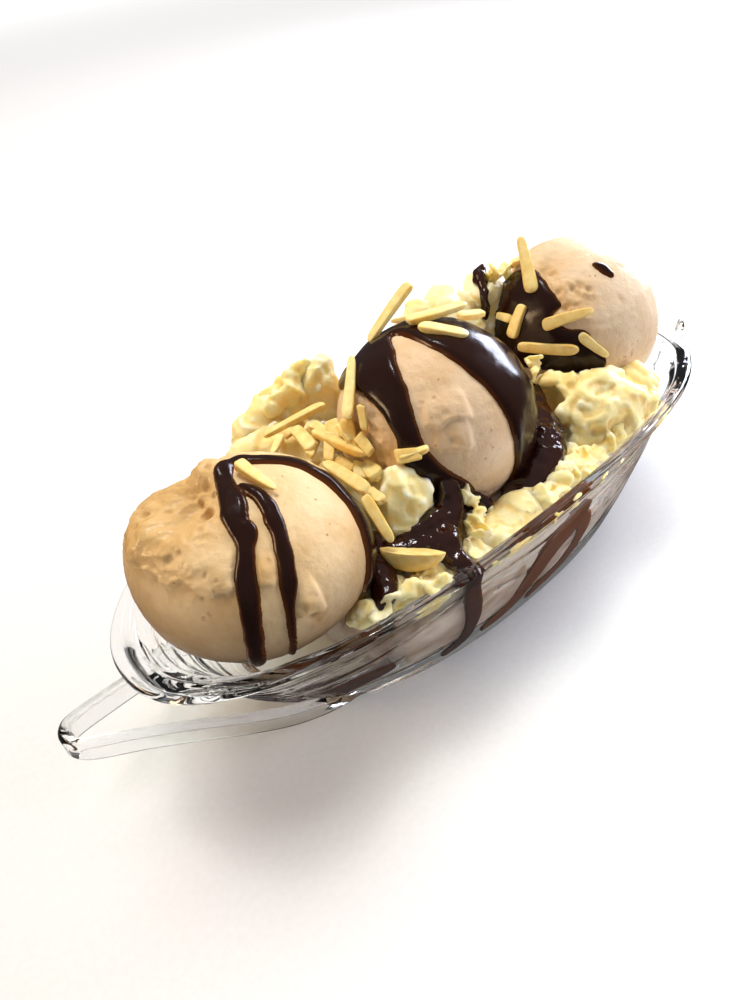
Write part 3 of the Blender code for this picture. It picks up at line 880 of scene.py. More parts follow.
    def build(self, glass: bpy.types.Material) -> None:
        """Weld the handles to the full body, cut the space out and dress the dish."""
        helpers = []
        for name, mesh in (
            ("near_loop", self.handle_loop(End.NEAR)),
            ("far_loop", self.handle_loop(End.FAR)),
            ("space", self.space()),
        ):
            outwards(mesh)
            helper = bpy.data.objects.new(name, mesh)
            bpy.context.scene.collection.objects.link(helper)
            helpers.append(helper)
        body = self.full_body()
        outwards(body)
        near, far, space = helpers
        mesh = with_modifiers(
            body,
            ("BOOLEAN", {"operation": "UNION", "solver": "EXACT", "object": near}),
            ("BOOLEAN", {"operation": "UNION", "solver": "EXACT", "object": far}),
            ("BOOLEAN", {"operation": "DIFFERENCE", "solver": "EXACT", "object": space}),
        )
        for helper in helpers:
            bpy.data.objects.remove(helper)
        mesh.set_sharp_from_angle(angle=radians(50.0))
        add_piece("pressed_glass_boat", mesh, glass, "glass", [self.node])


def outwards(mesh: bpy.types.Mesh) -> None:
    """Turn every face of a closed mesh outwards."""
    built = bmesh.new()
    built.from_mesh(mesh)
    bmesh.ops.recalc_face_normals(built, faces=built.faces)
    built.to_mesh(mesh)
    built.free()


# --------------------------------------------------------------------------
# Scoops of ice cream and the sauce poured over them
# --------------------------------------------------------------------------


@dataclass(frozen=True)
class Spot:
    """A place on a scoop: direction and spread in degrees, and a strength or a height in mm."""

    longitude: float
    latitude: float
    spread: float
    amount: float

    def weight(self, directions: np.ndarray) -> np.ndarray:
        """The amount at the middle, falling smoothly to nothing."""
        away = np.arccos(np.clip(directions @ towards(self.longitude, self.latitude), -1, 1))
        return self.amount * (1 - (away / radians(1.6 * self.spread)) ** 2).clip(0) ** 2


@dataclass(frozen=True)
class Ledge:
    """A torn edge where the scoop rolled the ice cream up: it stands proud above this latitude."""

    start: float
    end: float
    latitude: float
    height: float


@dataclass(frozen=True)
class Trail:
    """A trail of poured sauce: longitude, latitude and half width in mm at each point."""

    points: tuple[Place, ...]

    def inside(self, directions: np.ndarray, radius: float) -> np.ndarray:
        """How far inside the trail each direction is, mm; negative outside."""
        flat = [(*towards(lon, lat), width) for lon, lat, width in self.points]
        curve = through(flat, 8)
        spine = curve[:, :3] / np.linalg.norm(curve[:, :3], axis=1)[:, None]
        best = np.full(len(directions), -99.0)
        for point, width in zip(spine, curve[:, 3]):
            best = np.maximum(best, width - radius * np.linalg.norm(directions - point, axis=1))
        return best


@dataclass(frozen=True)
class Sheet:
    """A spread of sauce with this outline, in longitude and latitude."""

    outline: tuple[tuple[float, float], ...]

    def inside(self, directions: np.ndarray, radius: float) -> np.ndarray:
        """How far inside the outline each direction is, mm; negative outside."""
        charted = [
            ((90 - latitude) * cos(radians(longitude)), (90 - latitude) * sin(radians(longitude)))
            for longitude, latitude in self.outline
        ]
        edge = through(charted, 6, closed=True)
        polar = np.degrees(np.arccos(np.clip(directions[:, 2], -1, 1)))
        level = np.linalg.norm(directions[:, :2], axis=1) + 1e-9
        spot = directions[:, :2] / level[:, None] * polar[:, None]
        nearest = np.full(len(spot), 1e9)
        within = np.zeros(len(spot), bool)
        for a, b in zip(edge, np.roll(edge, -1, axis=0)):
            run = b - a
            share = np.clip((spot - a) @ run / (run @ run), 0, 1)
            nearest = np.minimum(nearest, np.linalg.norm(spot - a - share[:, None] * run, axis=1))
            crossing = (a[1] > spot[:, 1]) != (b[1] > spot[:, 1])
            at = a[0] + (spot[:, 1] - a[1]) * run[0] / (run[1] if run[1] else 1e-9)
            within ^= crossing & (spot[:, 0] < at)
        return np.where(within, nearest, -nearest) * radians(1) * radius


@dataclass
class Scoop:
    """One ball of ice cream, with its broad bumps, torn places and the sauce that runs over it."""

    node: str
    radius: float
    crown: float
    keel: float
    seed: int
    finish: ChurnedIceCream
    bumps: tuple[Spot, ...] = ()
    torn: tuple[Spot, ...] = ()
    ledges: tuple[Ledge, ...] = ()
    sauce: tuple[Trail | Sheet, ...] = ()
    bare: tuple[Trail | Sheet, ...] = ()
    coat: float = 1.5
    coat_edge: float = 2.6
    coat_root: float = 1.6
    coat_margin: float = 0.9
    level: int = 7

    def centre(self) -> np.ndarray:
        """The ball's centre, from its node's box."""
        low, high = node_box(self.node)
        middle = (low + high) / 2
        middle[2] = (low[2] + self.keel + high[2] - self.crown) / 2
        return middle

    def smooth_radius(self, directions: np.ndarray) -> np.ndarray:
        """Distance from the centre to the surface without its fine detail."""
        height = np.where(directions[:, 2] > 0, self.crown, self.keel)
        level = 1 - directions[:, 2] ** 2
        reach = 1 / np.sqrt(level / self.radius**2 + (directions[:, 2] / height) ** 2)
        reach += 0.6 * lumps(directions * self.radius, 22.0, self.seed)
        for bump in self.bumps:
            reach += bump.weight(directions)
        return reach

    def torn_share(self, directions: np.ndarray) -> np.ndarray:
        """How torn the surface is, from 0 where the scoop polished it to 1."""
        return sum((spot.weight(directions) for spot in self.torn), np.zeros(len(directions))).clip(0, 1)

    def poured(self, directions: np.ndarray) -> np.ndarray:
        """How far inside the sauce each direction is, mm; negative outside."""
        wobble = 0.5 * lumps(directions * self.radius, 5.0, self.seed + 40)
        best = np.full(len(directions), -99.0)
        for shape in self.sauce:
            best = np.maximum(best, shape.inside(directions, self.radius))
        for shape in self.bare:
            best = np.minimum(best, -shape.inside(directions, self.radius))
        return best + wobble

    def detail(self, directions: np.ndarray) -> np.ndarray:
        """The fine relief: grain, scoop marks, torn crumb and pits."""
        place = directions * self.radius
        torn = self.torn_share(directions)
        marks = lumps(place * (0.12, 0.12, 1.0), 1.9, self.seed + 5)
        relief_height = 0.10 * rough(place, 2.4, 2, self.seed + 6) + 0.16 * marks
        soft = 1.3 * rough(place, 13.0, 2, self.seed + 7)
        soft += 0.55 * (creases(place, 7.0, 2, self.seed + 8) - 0.4)
        crumb = 0.5 * rough(place, 3.2, 3, self.seed + 9)
        holes = smooth_step(pits(place, 5.2, self.seed + 12), 0.12, 0.34) - 1
        relief_height += torn * (soft + crumb + 1.0 * holes)
        scattered = smooth_step(lumps(place, 12.0, self.seed + 3), 0.15, 0.5)
        small = smooth_step(pits(place, 2.4, self.seed + 14), 0.12, 0.3) - 1
        relief_height += 0.45 * scattered * small
        longitude = np.degrees(np.arctan2(directions[:, 1], directions[:, 0]))
        latitude = np.degrees(np.arcsin(np.clip(directions[:, 2], -1, 1)))
        for ledge in self.ledges:
            ragged = ledge.latitude + 5.0 * rough(place, 9.0, 3, self.seed + 17)
            middle, half = (ledge.start + ledge.end) / 2, (ledge.end - ledge.start) / 2
            off = np.abs((longitude - middle + 180) % 360 - 180)
            window = 1 - smooth_step(off, 0.7 * half, half)
            above = smooth_step(latitude - ragged, -1.2, 1.0)
            fall = 1 - smooth_step(latitude - ragged, 6.0, 22.0)
            relief_height += ledge.height * window * above * fall
        return relief_height

    def surface(self, directions: np.ndarray) -> np.ndarray:
        """Distance from the centre to the finished surface."""
        bare = 1 - smooth_step(self.poured(directions), -1.5, 0.8)
        return self.smooth_radius(directions) + bare * self.detail(directions)

    def build(self) -> None:
        """Make the ball."""
        directions, faces = ball(self.level)
        points = self.centre() + directions * self.surface(directions)[:, None]
        mesh = new_mesh(self.node, points, faces)
        tag(mesh, "torn", self.torn_share(directions))
        add_piece(f"{self.node}_churned", mesh, self.finish.material(), "ice_cream", [self.node])

    def pour(self, sauce: bpy.types.Material) -> None:
        """Make the sauce that lies on the ball: a closed skin with a rounded edge."""
        directions, faces = ball(self.level)
        depth = self.poured(directions)
        rounded = np.sqrt(1 - (1 - np.clip(depth / self.coat_edge, 0, 1)) ** 2)
        sag = 0.35 * lumps(directions * self.radius, 7.0, self.seed + 50)
        height = np.where(depth > 0, (self.coat + sag) * rounded, 1.2 * depth)
        base = self.smooth_radius(directions)
        keep = np.nonzero((depth[faces] > -self.coat_margin).all(axis=1))[0]
        used, renumbered = np.unique(faces[keep], return_inverse=True)
        renumbered = renumbered.reshape(-1, 3)
        outer = self.centre() + directions[used] * (base + height)[used][:, None]
        inner = self.centre() + directions[used] * (base - self.coat_root)[used][:, None]
        edges = np.vstack([renumbered[:, [0, 1]], renumbered[:, [1, 2]], renumbered[:, [2, 0]]])
        ordered = np.sort(edges, axis=1)
        _, first, count = np.unique(ordered, axis=0, return_index=True, return_counts=True)
        border = edges[first[count == 1]]
        shift = len(used)
        walls = np.vstack(
            [
                np.column_stack([border[:, 1], border[:, 0], border[:, 0] + shift]),
                np.column_stack([border[:, 1], border[:, 0] + shift, border[:, 1] + shift]),
            ]
        )
        skin = np.vstack([renumbered, renumbered[:, ::-1] + shift, walls])
        mesh = new_mesh(f"{self.node}_sauce", np.vstack([outer, inner]), skin)
        thin = 0.3 * (1 - smooth_step(depth[used], 0.0, 1.0))
        tag(mesh, "thin", np.concatenate([thin, thin]))
        add_piece(f"sauce_over_{self.node}", mesh, sauce, "chocolate_sauce")


def scoops() -> list[Scoop]:
    """The three scoops, from the near handle to the far one."""
    near = Scoop(
        "scoop_near",
        radius=32.2,
        crown=25.6,
        keel=20.0,
        seed=11,
        finish=ChurnedIceCream(
            # The near scoop gets painted shade at its foot, below 66 mm.
            "hazelnut_ice_cream_near", light="#e4c99c", dark="#d2ae7a", painted_foot_shade="#452810", foot_shade_line=66.0
        ),
        bumps=(
            Spot(134.0, 24.0, 34.0, 2.6),
            Spot(98.0, 41.0, 17.0, -3.0),
            Spot(163.0, 62.0, 16.0, -2.4),
            Spot(170.0, 40.0, 20.0, 1.2),
            Spot(98.0, 68.0, 10.0, 3.2),
            Spot(172.0, 58.0, 11.0, -1.8),
            Spot(-168.0, 66.0, 4.5, -3.0),
            Spot(165.0, 44.0, 9.0, 1.2),
            Spot(-150.0, 52.0, 12.0, 0.9),
        ),
        torn=(
            Spot(165.0, 52.0, 30.0, 1.2),
            Spot(110.0, 50.0, 30.0, 0.9),
            Spot(-133.0, 30.0, 9.0, 0.45),
            Spot(-113.0, 33.0, 8.0, 0.6),
            Spot(-155.0, 29.0, 9.0, 0.45),
            Spot(-97.0, 12.0, 6.0, 0.9),
            Spot(-94.0, 2.0, 5.0, 0.8),
        ),
        ledges=(Ledge(-205.0, -96.0, 30.0, 1.5), Ledge(-106.0, -88.0, 8.0, 1.3)),
        sauce=(
            Trail(
                (
                    (66.0, 74.0, 2.2), (100.0, 84.0, 3.0), (-121.0, 73.0, 4.1), (-121.0, 66.0, 4.1),
                    (-119.0, 60.0, 3.2), (-115.0, 54.0, 3.7), (-117.0, 47.0, 2.7), (-120.0, 37.0, 2.9),
                    (-121.0, 29.0, 3.0), (-122.0, 18.0, 2.6), (-123.0, 7.0, 2.3), (-126.0, -16.0, 2.2),
                )
            ),
            Trail(
                (
                    (-75.0, 82.0, 1.6), (-74.0, 72.0, 2.4), (-80.0, 64.0, 2.6), (-86.0, 56.0, 2.8),
                    (-91.0, 47.0, 2.4), (-96.0, 37.0, 2.4), (-101.0, 25.0, 2.4), (-104.0, 17.0, 1.6),
                    (-106.0, 8.0, 1.2), (-109.0, -12.0, 1.1),
                )
            ),
            Trail(
                (
                    (66.0, 74.0, 2.2), (48.0, 66.0, 2.6), (28.0, 66.0, 2.7), (8.0, 58.0, 2.9),
                    (-4.0, 48.0, 3.0), (-17.0, 39.0, 3.1), (-28.0, 28.0, 3.3), (-36.0, 18.0, 3.5),
                    (-44.0, 8.0, 4.0), (-54.0, -8.0, 5.2),
                )
            ),
        ),
    )
    middle = Scoop(
        "scoop_middle",
        radius=30.8,
        crown=30.8,
        keel=29.5,
        seed=23,
        finish=ChurnedIceCream("hazelnut_ice_cream_middle", light="#e4caa8", dark="#d6b58a"),
        bumps=(Spot(-96.0, 24.0, 22.0, 0.8),),
        torn=(
            Spot(178.0, 18.0, 16.0, 1.0),
            Spot(-160.0, 12.0, 12.0, 0.8),
            Spot(-127.0, 32.0, 10.0, 0.4),
            Spot(-119.0, 21.0, 8.0, 0.35),
            Spot(90.0, 0.0, 40.0, 0.5),
        ),
        ledges=(Ledge(-140.0, -106.0, 33.0, 1.3), Ledge(-134.0, -110.0, 17.0, 0.9)),
        sauce=(
            Sheet(
                (
                    (126.0, 22.0), (112.0, 36.0), (98.0, 46.0), (80.0, 52.0), (42.0, 54.0),
                    (-5.0, 52.0), (-24.0, 38.0), (-34.0, 18.0), (-42.0, -5.0), (-56.0, -24.0),
                    (-76.0, -36.0), (-88.0, -28.0), (-84.0, -12.0), (-85.0, 9.0), (-87.0, 29.0),
                    (-94.0, 53.0), (-103.0, 68.0), (-138.0, 80.0), (113.0, 69.0), (172.0, 68.0),
                    (-165.0, 60.0), (-152.0, 51.0), (-147.0, 43.0), (-142.0, 31.0), (-137.0, 20.0),
                    (-128.0, 9.0), (-119.0, 0.0), (-112.0, -12.0), (-114.0, -26.0), (-132.0, -20.0),
                    (-142.0, 0.0), (-152.0, 14.0), (-156.0, 25.0), (-164.0, 34.0), (180.0, 40.0),
                    (163.0, 39.0), (143.0, 32.0),
                )
            ),
        ),
        coat=1.6,
    )
    far = Scoop(
        "scoop_far",
        radius=29.6,
        crown=29.6,
        keel=28.0,
        seed=37,
        finish=ChurnedIceCream("hazelnut_ice_cream_far", light="#e2ccae", dark="#d3b48c"),
        bumps=(Spot(82.0, 60.0, 26.0, 2.2),),
        torn=(
            Spot(-150.0, 46.0, 12.0, 0.8),
            Spot(178.0, 56.0, 14.0, 0.8),
            Spot(-140.0, 48.0, 12.0, 0.9),
            Spot(-100.0, 40.0, 5.0, 0.4),
            Spot(90.0, 10.0, 40.0, 0.5),
        ),
        sauce=(
            Sheet(
                (
                    (128.0, 24.0), (131.0, 45.0), (150.0, 58.0), (172.0, 57.0), (-172.0, 52.0),
                    (-160.0, 46.0), (-154.0, 41.0), (-160.0, 34.0), (-148.0, 27.0), (-134.0, 25.0),
                    (-128.0, 15.0), (-121.0, 3.0), (-128.0, -5.0), (-152.0, -2.0), (180.0, -5.0),
                    (150.0, 0.0),
                )
            ),
            Trail(((-108.0, 68.0, 1.3), (-102.0, 64.0, 1.9), (-98.0, 58.0, 1.5))),
        ),
        coat=1.3,
    )
    return [near, middle, far]


# --------------------------------------------------------------------------
# Cream
# --------------------------------------------------------------------------


def torn_relief(
    points: np.ndarray, normals: np.ndarray, crest: float, seed: int
) -> tuple[np.ndarray, np.ndarray]:
    """Tear a smooth lump: soft flat faces with ragged steps between them, and crumb in places.

    Args:
        points: the lump's points, mm.
        normals: its normals.
        crest: how high its steps are, mm.
        seed: which of many patterns.

    Returns:
        The new points, and how deep in a fold each one is, below 0 on a tip; the cream's finish paints shade
        into the folds and a highlight onto the tips from it.
    """
    warp = np.stack([rough(points, 11.0, 2, seed + i) for i in (1, 2, 3)], axis=1)
    folded = points + 2.0 * warp
    broad = rough(folded, 13.0, 2, seed + 5)
    steps = 2.0 * broad
    part = steps - np.floor(steps)
    ledge = (np.floor(steps) + smooth_step(part, 0.55, 0.85)) / 2.0
    crumb = rough(folded, 2.8, 3, seed + 9)
    tips = smooth_step(lumps(folded, 4.6, seed + 11), 0.25, 0.7)
    frayed = smooth_step(lumps(folded, 2.1, seed + 13), 0.28, 0.75) * smooth_step(broad, -0.1, 0.3)
    height = crest * (0.5 * broad + 0.6 * ledge) + 0.25 * crumb + 0.35 * crest * tips + 0.45 * frayed
    # Folds for the painted shade of the cream's finish, and tips for its painted highlight.
    painted_fold_shade = smooth_step(part, 0.2, 0.55) * (1 - smooth_step(part, 0.55, 0.75))
    return points + normals * height[:, None] + 0.9 * warp, 0.6 * painted_fold_shade - 0.7 * np.maximum(tips, frayed)


@dataclass
class TornCream:
    """A lump of cream as it was torn off: ragged crests, deep folds and fine crumb."""

    node: str
    seed: int
    crest: float = 2.4
    voxel: float = 0.6

    def build(self, cream: bpy.types.Material) -> bpy.types.Object:
        """Make the lump over its node."""
        mesh = melt_together(node_mesh(self.node), self.voxel, 6)
        points, normals = mesh_points(mesh), mesh_normals(mesh)
        points, painted_fold_shade = torn_relief(points, normals, self.crest, self.seed)
        move_points(mesh, points)
        # Folds and tips, for the painted shade and painted highlight of the cream's finish.
        tag(mesh, "painted_fold_shade", painted_fold_shade)
        return add_piece(f"{self.node}_torn", mesh, cream, "cream", [self.node])


# --------------------------------------------------------------------------
# Fillings seen through the wall
# --------------------------------------------------------------------------


@dataclass
class Filling:
    """A filling that fills the dish up to its wall, and reaches just into the glass."""

    node: str
    piece: str
    slot: str
    voxel: float
    reach: float
    uneven: float
    seed: int

    def build(self, finish: bpy.types.Material) -> bpy.types.Object:
        """Make the filling over its node."""
        mesh = melt_together(node_mesh(self.node), self.voxel, 3)
        points, normals = mesh_points(mesh), mesh_normals(mesh)
        free = smooth_step(normals[:, 2], 0.3, 0.8)
        height = self.reach + free * self.uneven * rough(points, 9.0, 3, self.seed)
        move_points(mesh, points + normals * height[:, None])
        return add_piece(self.piece, mesh, finish, self.slot, [self.node])


# --------------------------------------------------------------------------
# Pools, drops and runs of sauce
# --------------------------------------------------------------------------


@dataclass(frozen=True)
class Bead:
    """A blob of sauce: its centre and radii."""

    centre: Place
    radii: Place


WALL_GAP = 0.3
WALL_BEAD = 3.2


def run_of(points: Sequence[tuple[float, float, float, float]], steps: int = 6) -> list[Bead]:
    """Beads along a smooth run of sauce, each point with its radius last."""
    return [Bead((x, y, z), (r, r, r)) for x, y, z, r in through(points, steps)]


@dataclass
class SauceBody:
    """Sauce that lies in the hollows or runs down inside the wall."""

    piece: str
    beads: list[Bead]
    seed: int
    stands_for: tuple[str, ...] = ()
    voxel: float = 0.6
    ripple: float = 0.7
    against_wall: bool = False
    into_wall: float = 1.5
    thin: float = 0.0
    thin_below: tuple[float, float] = (33.0, 40.0)

    def build(self, sauce: bpy.types.Material, dish: GlassBoat) -> bpy.types.Object:
        """Melt the beads into one skin and let it settle."""
        directions, faces = ball(2)
        parts = [(np.array(b.centre) + directions * b.radii, faces) for b in self.beads]
        mesh = melt_together(joined(self.piece, parts), self.voxel, 5)
        points, normals = mesh_points(mesh), mesh_normals(mesh)
        height = self.ripple * rough(points, 5.0, 3, self.seed)
        points = points + normals * height[:, None]
        if self.against_wall:
            limit = np.array([dish.inside(x, max(z, 1.0)) for x, _, z in points]) + self.into_wall
            points[:, 1] = np.maximum(points[:, 1], -limit)
        move_points(mesh, points)
        tag(mesh, "thin", self.thin * (1 - smooth_step(points[:, 2], *self.thin_below)))
        return add_piece(self.piece, mesh, sauce, "chocolate_sauce", self.stands_for)


def wall_run(dish: GlassBoat, points: Sequence[Place], steps: int = 8) -> list[Bead]:
    """Flat beads along a run of sauce that clings to the inside of the near wall.

    Args:
        dish: the dish.
        points: place along X, height and radius at each point, mm.
        steps: how many beads to give for each stretch.

    Returns:
        The beads.
    """
    return [
        Bead((x, WALL_GAP - dish.inside(x, z), z), (r, WALL_BEAD, r)) for x, z, r in through(points, steps)
    ]


def sauce_bodies(dish: GlassBoat) -> list[SauceBody]:
    """Every body of sauce that isn't on a scoop."""
    front = run_of(
        (
            (-20.0, -22.5, 57.5, 2.4), (-21.0, -25.5, 53.5, 3.2), (-22.5, -28.0, 50.0, 3.8),
            (-27.0, -30.5, 47.0, 4.6), (-31.5, -33.5, 45.5, 4.8), (-34.0, -38.0, 44.0, 3.8),
            (-33.5, -41.5, 43.5, 3.2), (-32.5, -43.5, 42.0, 2.8),
        ),
        8,
    )
    front += run_of(
        (
            (-26.0, -29.5, 45.5, 5.0), (-32.0, -32.5, 43.5, 6.2), (-37.0, -29.0, 43.5, 5.6),
            (-44.0, -24.5, 44.5, 3.4),
        ),
        8,
    )
    front += run_of(
        (
            (-25.5, -28.0, 48.0, 4.4), (-30.0, -28.5, 47.5, 4.8), (-34.5, -27.0, 46.5, 4.2),
            (-39.0, -25.5, 46.0, 3.0),
        ),
        8,
    )
    front += run_of(((-14.0, -28.5, 46.5, 2.6), (-12.0, -31.0, 44.0, 2.8), (-14.0, -33.0, 42.0, 2.0)), 8)
    wedge = run_of(
        (
            (-46.0, -19.5, 48.0, 2.4), (-48.5, -23.5, 45.5, 3.4), (-52.0, -29.5, 43.0, 4.4),
            (-55.0, -33.5, 42.5, 3.8), (-58.5, -36.0, 42.5, 2.0),
        ),
        8,
    )
    right = [
        Bead((x, y, z), (r, r, 0.8 * r))
        for x, y, z, r in through(
            (
                (37.0, -8.0, 50.0, 3.2), (33.0, -13.0, 48.5, 4.0), (28.5, -18.5, 46.5, 6.0),
                (22.5, -25.0, 44.5, 7.6), (14.0, -30.0, 43.0, 7.4), (5.0, -32.5, 42.0, 6.0),
                (-3.0, -33.0, 41.5, 4.0),
            ),
            6,
        )
    ]
    wall = wall_run(
        dish,
        (
            (20.0, 30.0, 3.6), (14.0, 26.5, 5.6), (5.0, 23.0, 6.6), (-2.0, 16.0, 5.4),
            (-10.0, 8.5, 3.6), (-22.0, 5.0, 2.0),
        ),
    )
    wall += wall_run(
        dish,
        ((18.0, 27.0, 3.6), (22.5, 20.5, 4.4), (20.0, 13.0, 4.0), (11.0, 7.5, 3.0), (-2.0, 4.5, 2.0)),
    )
    strand = wall_run(
        dish,
        (
            (-32.0, 40.5, 3.2), (-31.0, 33.0, 3.5), (-29.0, 23.0, 3.7), (-28.5, 14.0, 3.4),
            (-31.0, 7.0, 2.8), (-37.0, 4.5, 2.0),
        ),
        10,
    )
    drop = run_of(
        (
            (54.5, 30.0, 77.0, 2.0), (52.5, 29.0, 75.5, 3.0), (50.0, 25.5, 73.5, 2.0),
            (47.4, 22.4, 71.0, 1.7), (46.8, 21.6, 68.0, 1.9), (46.8, 21.4, 64.0, 1.5),
        )
    )
    under_scoop = wall_run(
        dish,
        ((-84.0, 8.0, 3.0), (-78.5, 9.0, 4.6), (-73.0, 11.0, 4.8), (-66.0, 13.5, 3.6), (-57.0, 14.5, 2.0)),
    )
    return [
        SauceBody("sauce_pool_front_poured", front, seed=3, stands_for=("sauce_pool_front",), ripple=0.75),
        SauceBody("sauce_wedge", wedge, seed=5, ripple=0.8),
        SauceBody("sauce_pool_right_poured", right, seed=7, stands_for=("sauce_pool_right",)),
        SauceBody("sauce_run_by_wall", wall, seed=9, ripple=0.3, against_wall=True, thin=0.5),
        SauceBody("sauce_strand_by_wall", strand, seed=11, ripple=0.3, against_wall=True, thin=0.15),
        SauceBody("sauce_drop_on_cream", drop, seed=13, ripple=0.9),
        SauceBody("sauce_under_near_scoop", under_scoop, seed=15, ripple=0.5, against_wall=True, thin=0.2),
    ]


@dataclass
class CreamScraps:
    """Scraps of cream pressed along the near rim and left between the larger lumps."""

    spots: tuple[tuple[float, float, float, float], ...] = (
        (-18.0, -29.5, 53.0, 1.5), (-17.0, -31.0, 50.5, 1.8), (-17.5, -33.5, 48.0, 2.2),
        (-20.5, -36.0, 45.5, 2.6), (-24.5, -38.5, 44.5, 2.4), (-28.0, -41.0, 43.5, 2.0),
        (-52.0, -37.5, 42.5, 2.6), (-47.5, -39.0, 42.5, 3.0), (-43.0, -40.5, 42.5, 3.0),
        (-38.5, -41.0, 42.5, 2.4), (-67.0, -34.5, 42.5, 1.6), (-62.5, -36.5, 42.5, 1.8),
        (-58.0, -38.0, 42.5, 1.8), (1.0, -40.5, 43.0, 2.6), (6.0, -41.0, 43.0, 2.8),
        (11.0, -40.0, 43.0, 2.8), (16.0, -38.5, 43.0, 3.0), (21.0, -37.0, 43.0, 3.0),
        (38.0, -8.0, 56.0, 1.8), (41.0, -4.5, 58.0, 1.8), (54.0, 29.0, 75.0, 2.4),
        (57.0, 26.0, 76.0, 2.4), (59.5, 22.5, 75.5, 2.2), (-30.0, 36.0, 67.0, 4.0),
        (-25.5, 37.0, 69.0, 3.6), (-34.0, 35.0, 65.5, 4.0), (-21.5, 37.0, 70.0, 2.8),
        (57.5, 21.5, 70.0, 2.0), (58.0, 17.0, 68.5, 2.2), (55.0, 14.5, 66.0, 2.0),
    )
    rim_span: tuple[float, float] = (-60.0, 62.0)
    rim_count: int = 40
    rim_rows: tuple[Place, ...] = ((6.4, 6.0, 2.8), (10.5, 7.2, 3.2))
    flakes: int = 4
    crest: float = 0.9
    voxel: float = 0.5
    seed: int = 241

    def places(self, dish: GlassBoat) -> list[tuple[float, float, float, float]]:
        """Where the scraps lie, and the size of each: those listed one by one, then those along the rim."""
        found = list(self.spots)
        for x in np.linspace(*self.rim_span, self.rim_count):
            for inset, below, size in self.rim_rows:
                z = dish.rim_at(x) - below
                found.append((x, inset - dish.inside(x, z), z, size))
        return found

    def build(self, cream: bpy.types.Material, dish: GlassBoat) -> bpy.types.Object:
        """Heap a few flakes at each place and melt them into one skin, kept inside the wall."""
        directions, faces = ball(2)
        parts = []
        for order, (x, y, z, size) in enumerate(self.places(dish)):
            chance = np.random.default_rng(order)
            for _ in range(self.flakes):
                turn, _ = np.linalg.qr(chance.normal(size=(3, 3)))
                flake = directions * size * chance.uniform((1.0, 0.7, 0.25), (1.7, 1.1, 0.45)) @ turn
                parts.append((np.array((x, y, z)) + 0.5 * size * chance.normal(size=3) + flake, faces))
        mesh = melt_together(joined("scraps", parts), self.voxel, 3)
        points, painted_fold_shade = torn_relief(mesh_points(mesh), mesh_normals(mesh), self.crest, self.seed)
        inner = np.array([dish.inside(x, max(z, 1.0)) for x, _, z in points]) + 0.3
        low = points[:, 2] < dish.rim_at(points[:, 0]) - 0.5
        points[:, 1] = np.where(low, np.maximum(points[:, 1], -inner), points[:, 1])
        move_points(mesh, points)
        # Folds and tips, for the painted shade and painted highlight of the cream's finish.
        tag(mesh, "painted_fold_shade", painted_fold_shade)
        return add_piece("cream_scraps", mesh, cream, "cream")


# --------------------------------------------------------------------------
# Almonds
# --------------------------------------------------------------------------


@dataclass(frozen=True)
class Axes:
    """The middle, directions and half sizes of a long piece, found from its node."""

    middle: np.ndarray
    along: np.ndarray
    across: np.ndarray
    up: np.ndarray
    half: np.ndarray

    @classmethod
    def of(cls, node: str) -> Axes:
        """Find them from the node's points."""
        points = node_points(node)
        middle = points.mean(axis=0)
        _, _, rows = np.linalg.svd(points - middle, full_matrices=False)
        along, across = rows[0], rows[1]
        if along[0] < 0:
            along = -along
        up = np.cross(along, across)
        if up[2] < 0:
            across, up = -across, -up
        spread = (points - middle) @ np.stack([along, across, up], axis=1)
        low, high = spread.min(axis=0), spread.max(axis=0)
        middle = middle + (low + high) / 2 @ np.stack([along, across, up])
        return cls(middle, along, across, up, (high - low) / 2)

    def at(self, local: np.ndarray) -> np.ndarray:
        """Turn local points into places on the part."""
        return self.middle + local @ np.stack([self.along, self.across, self.up])


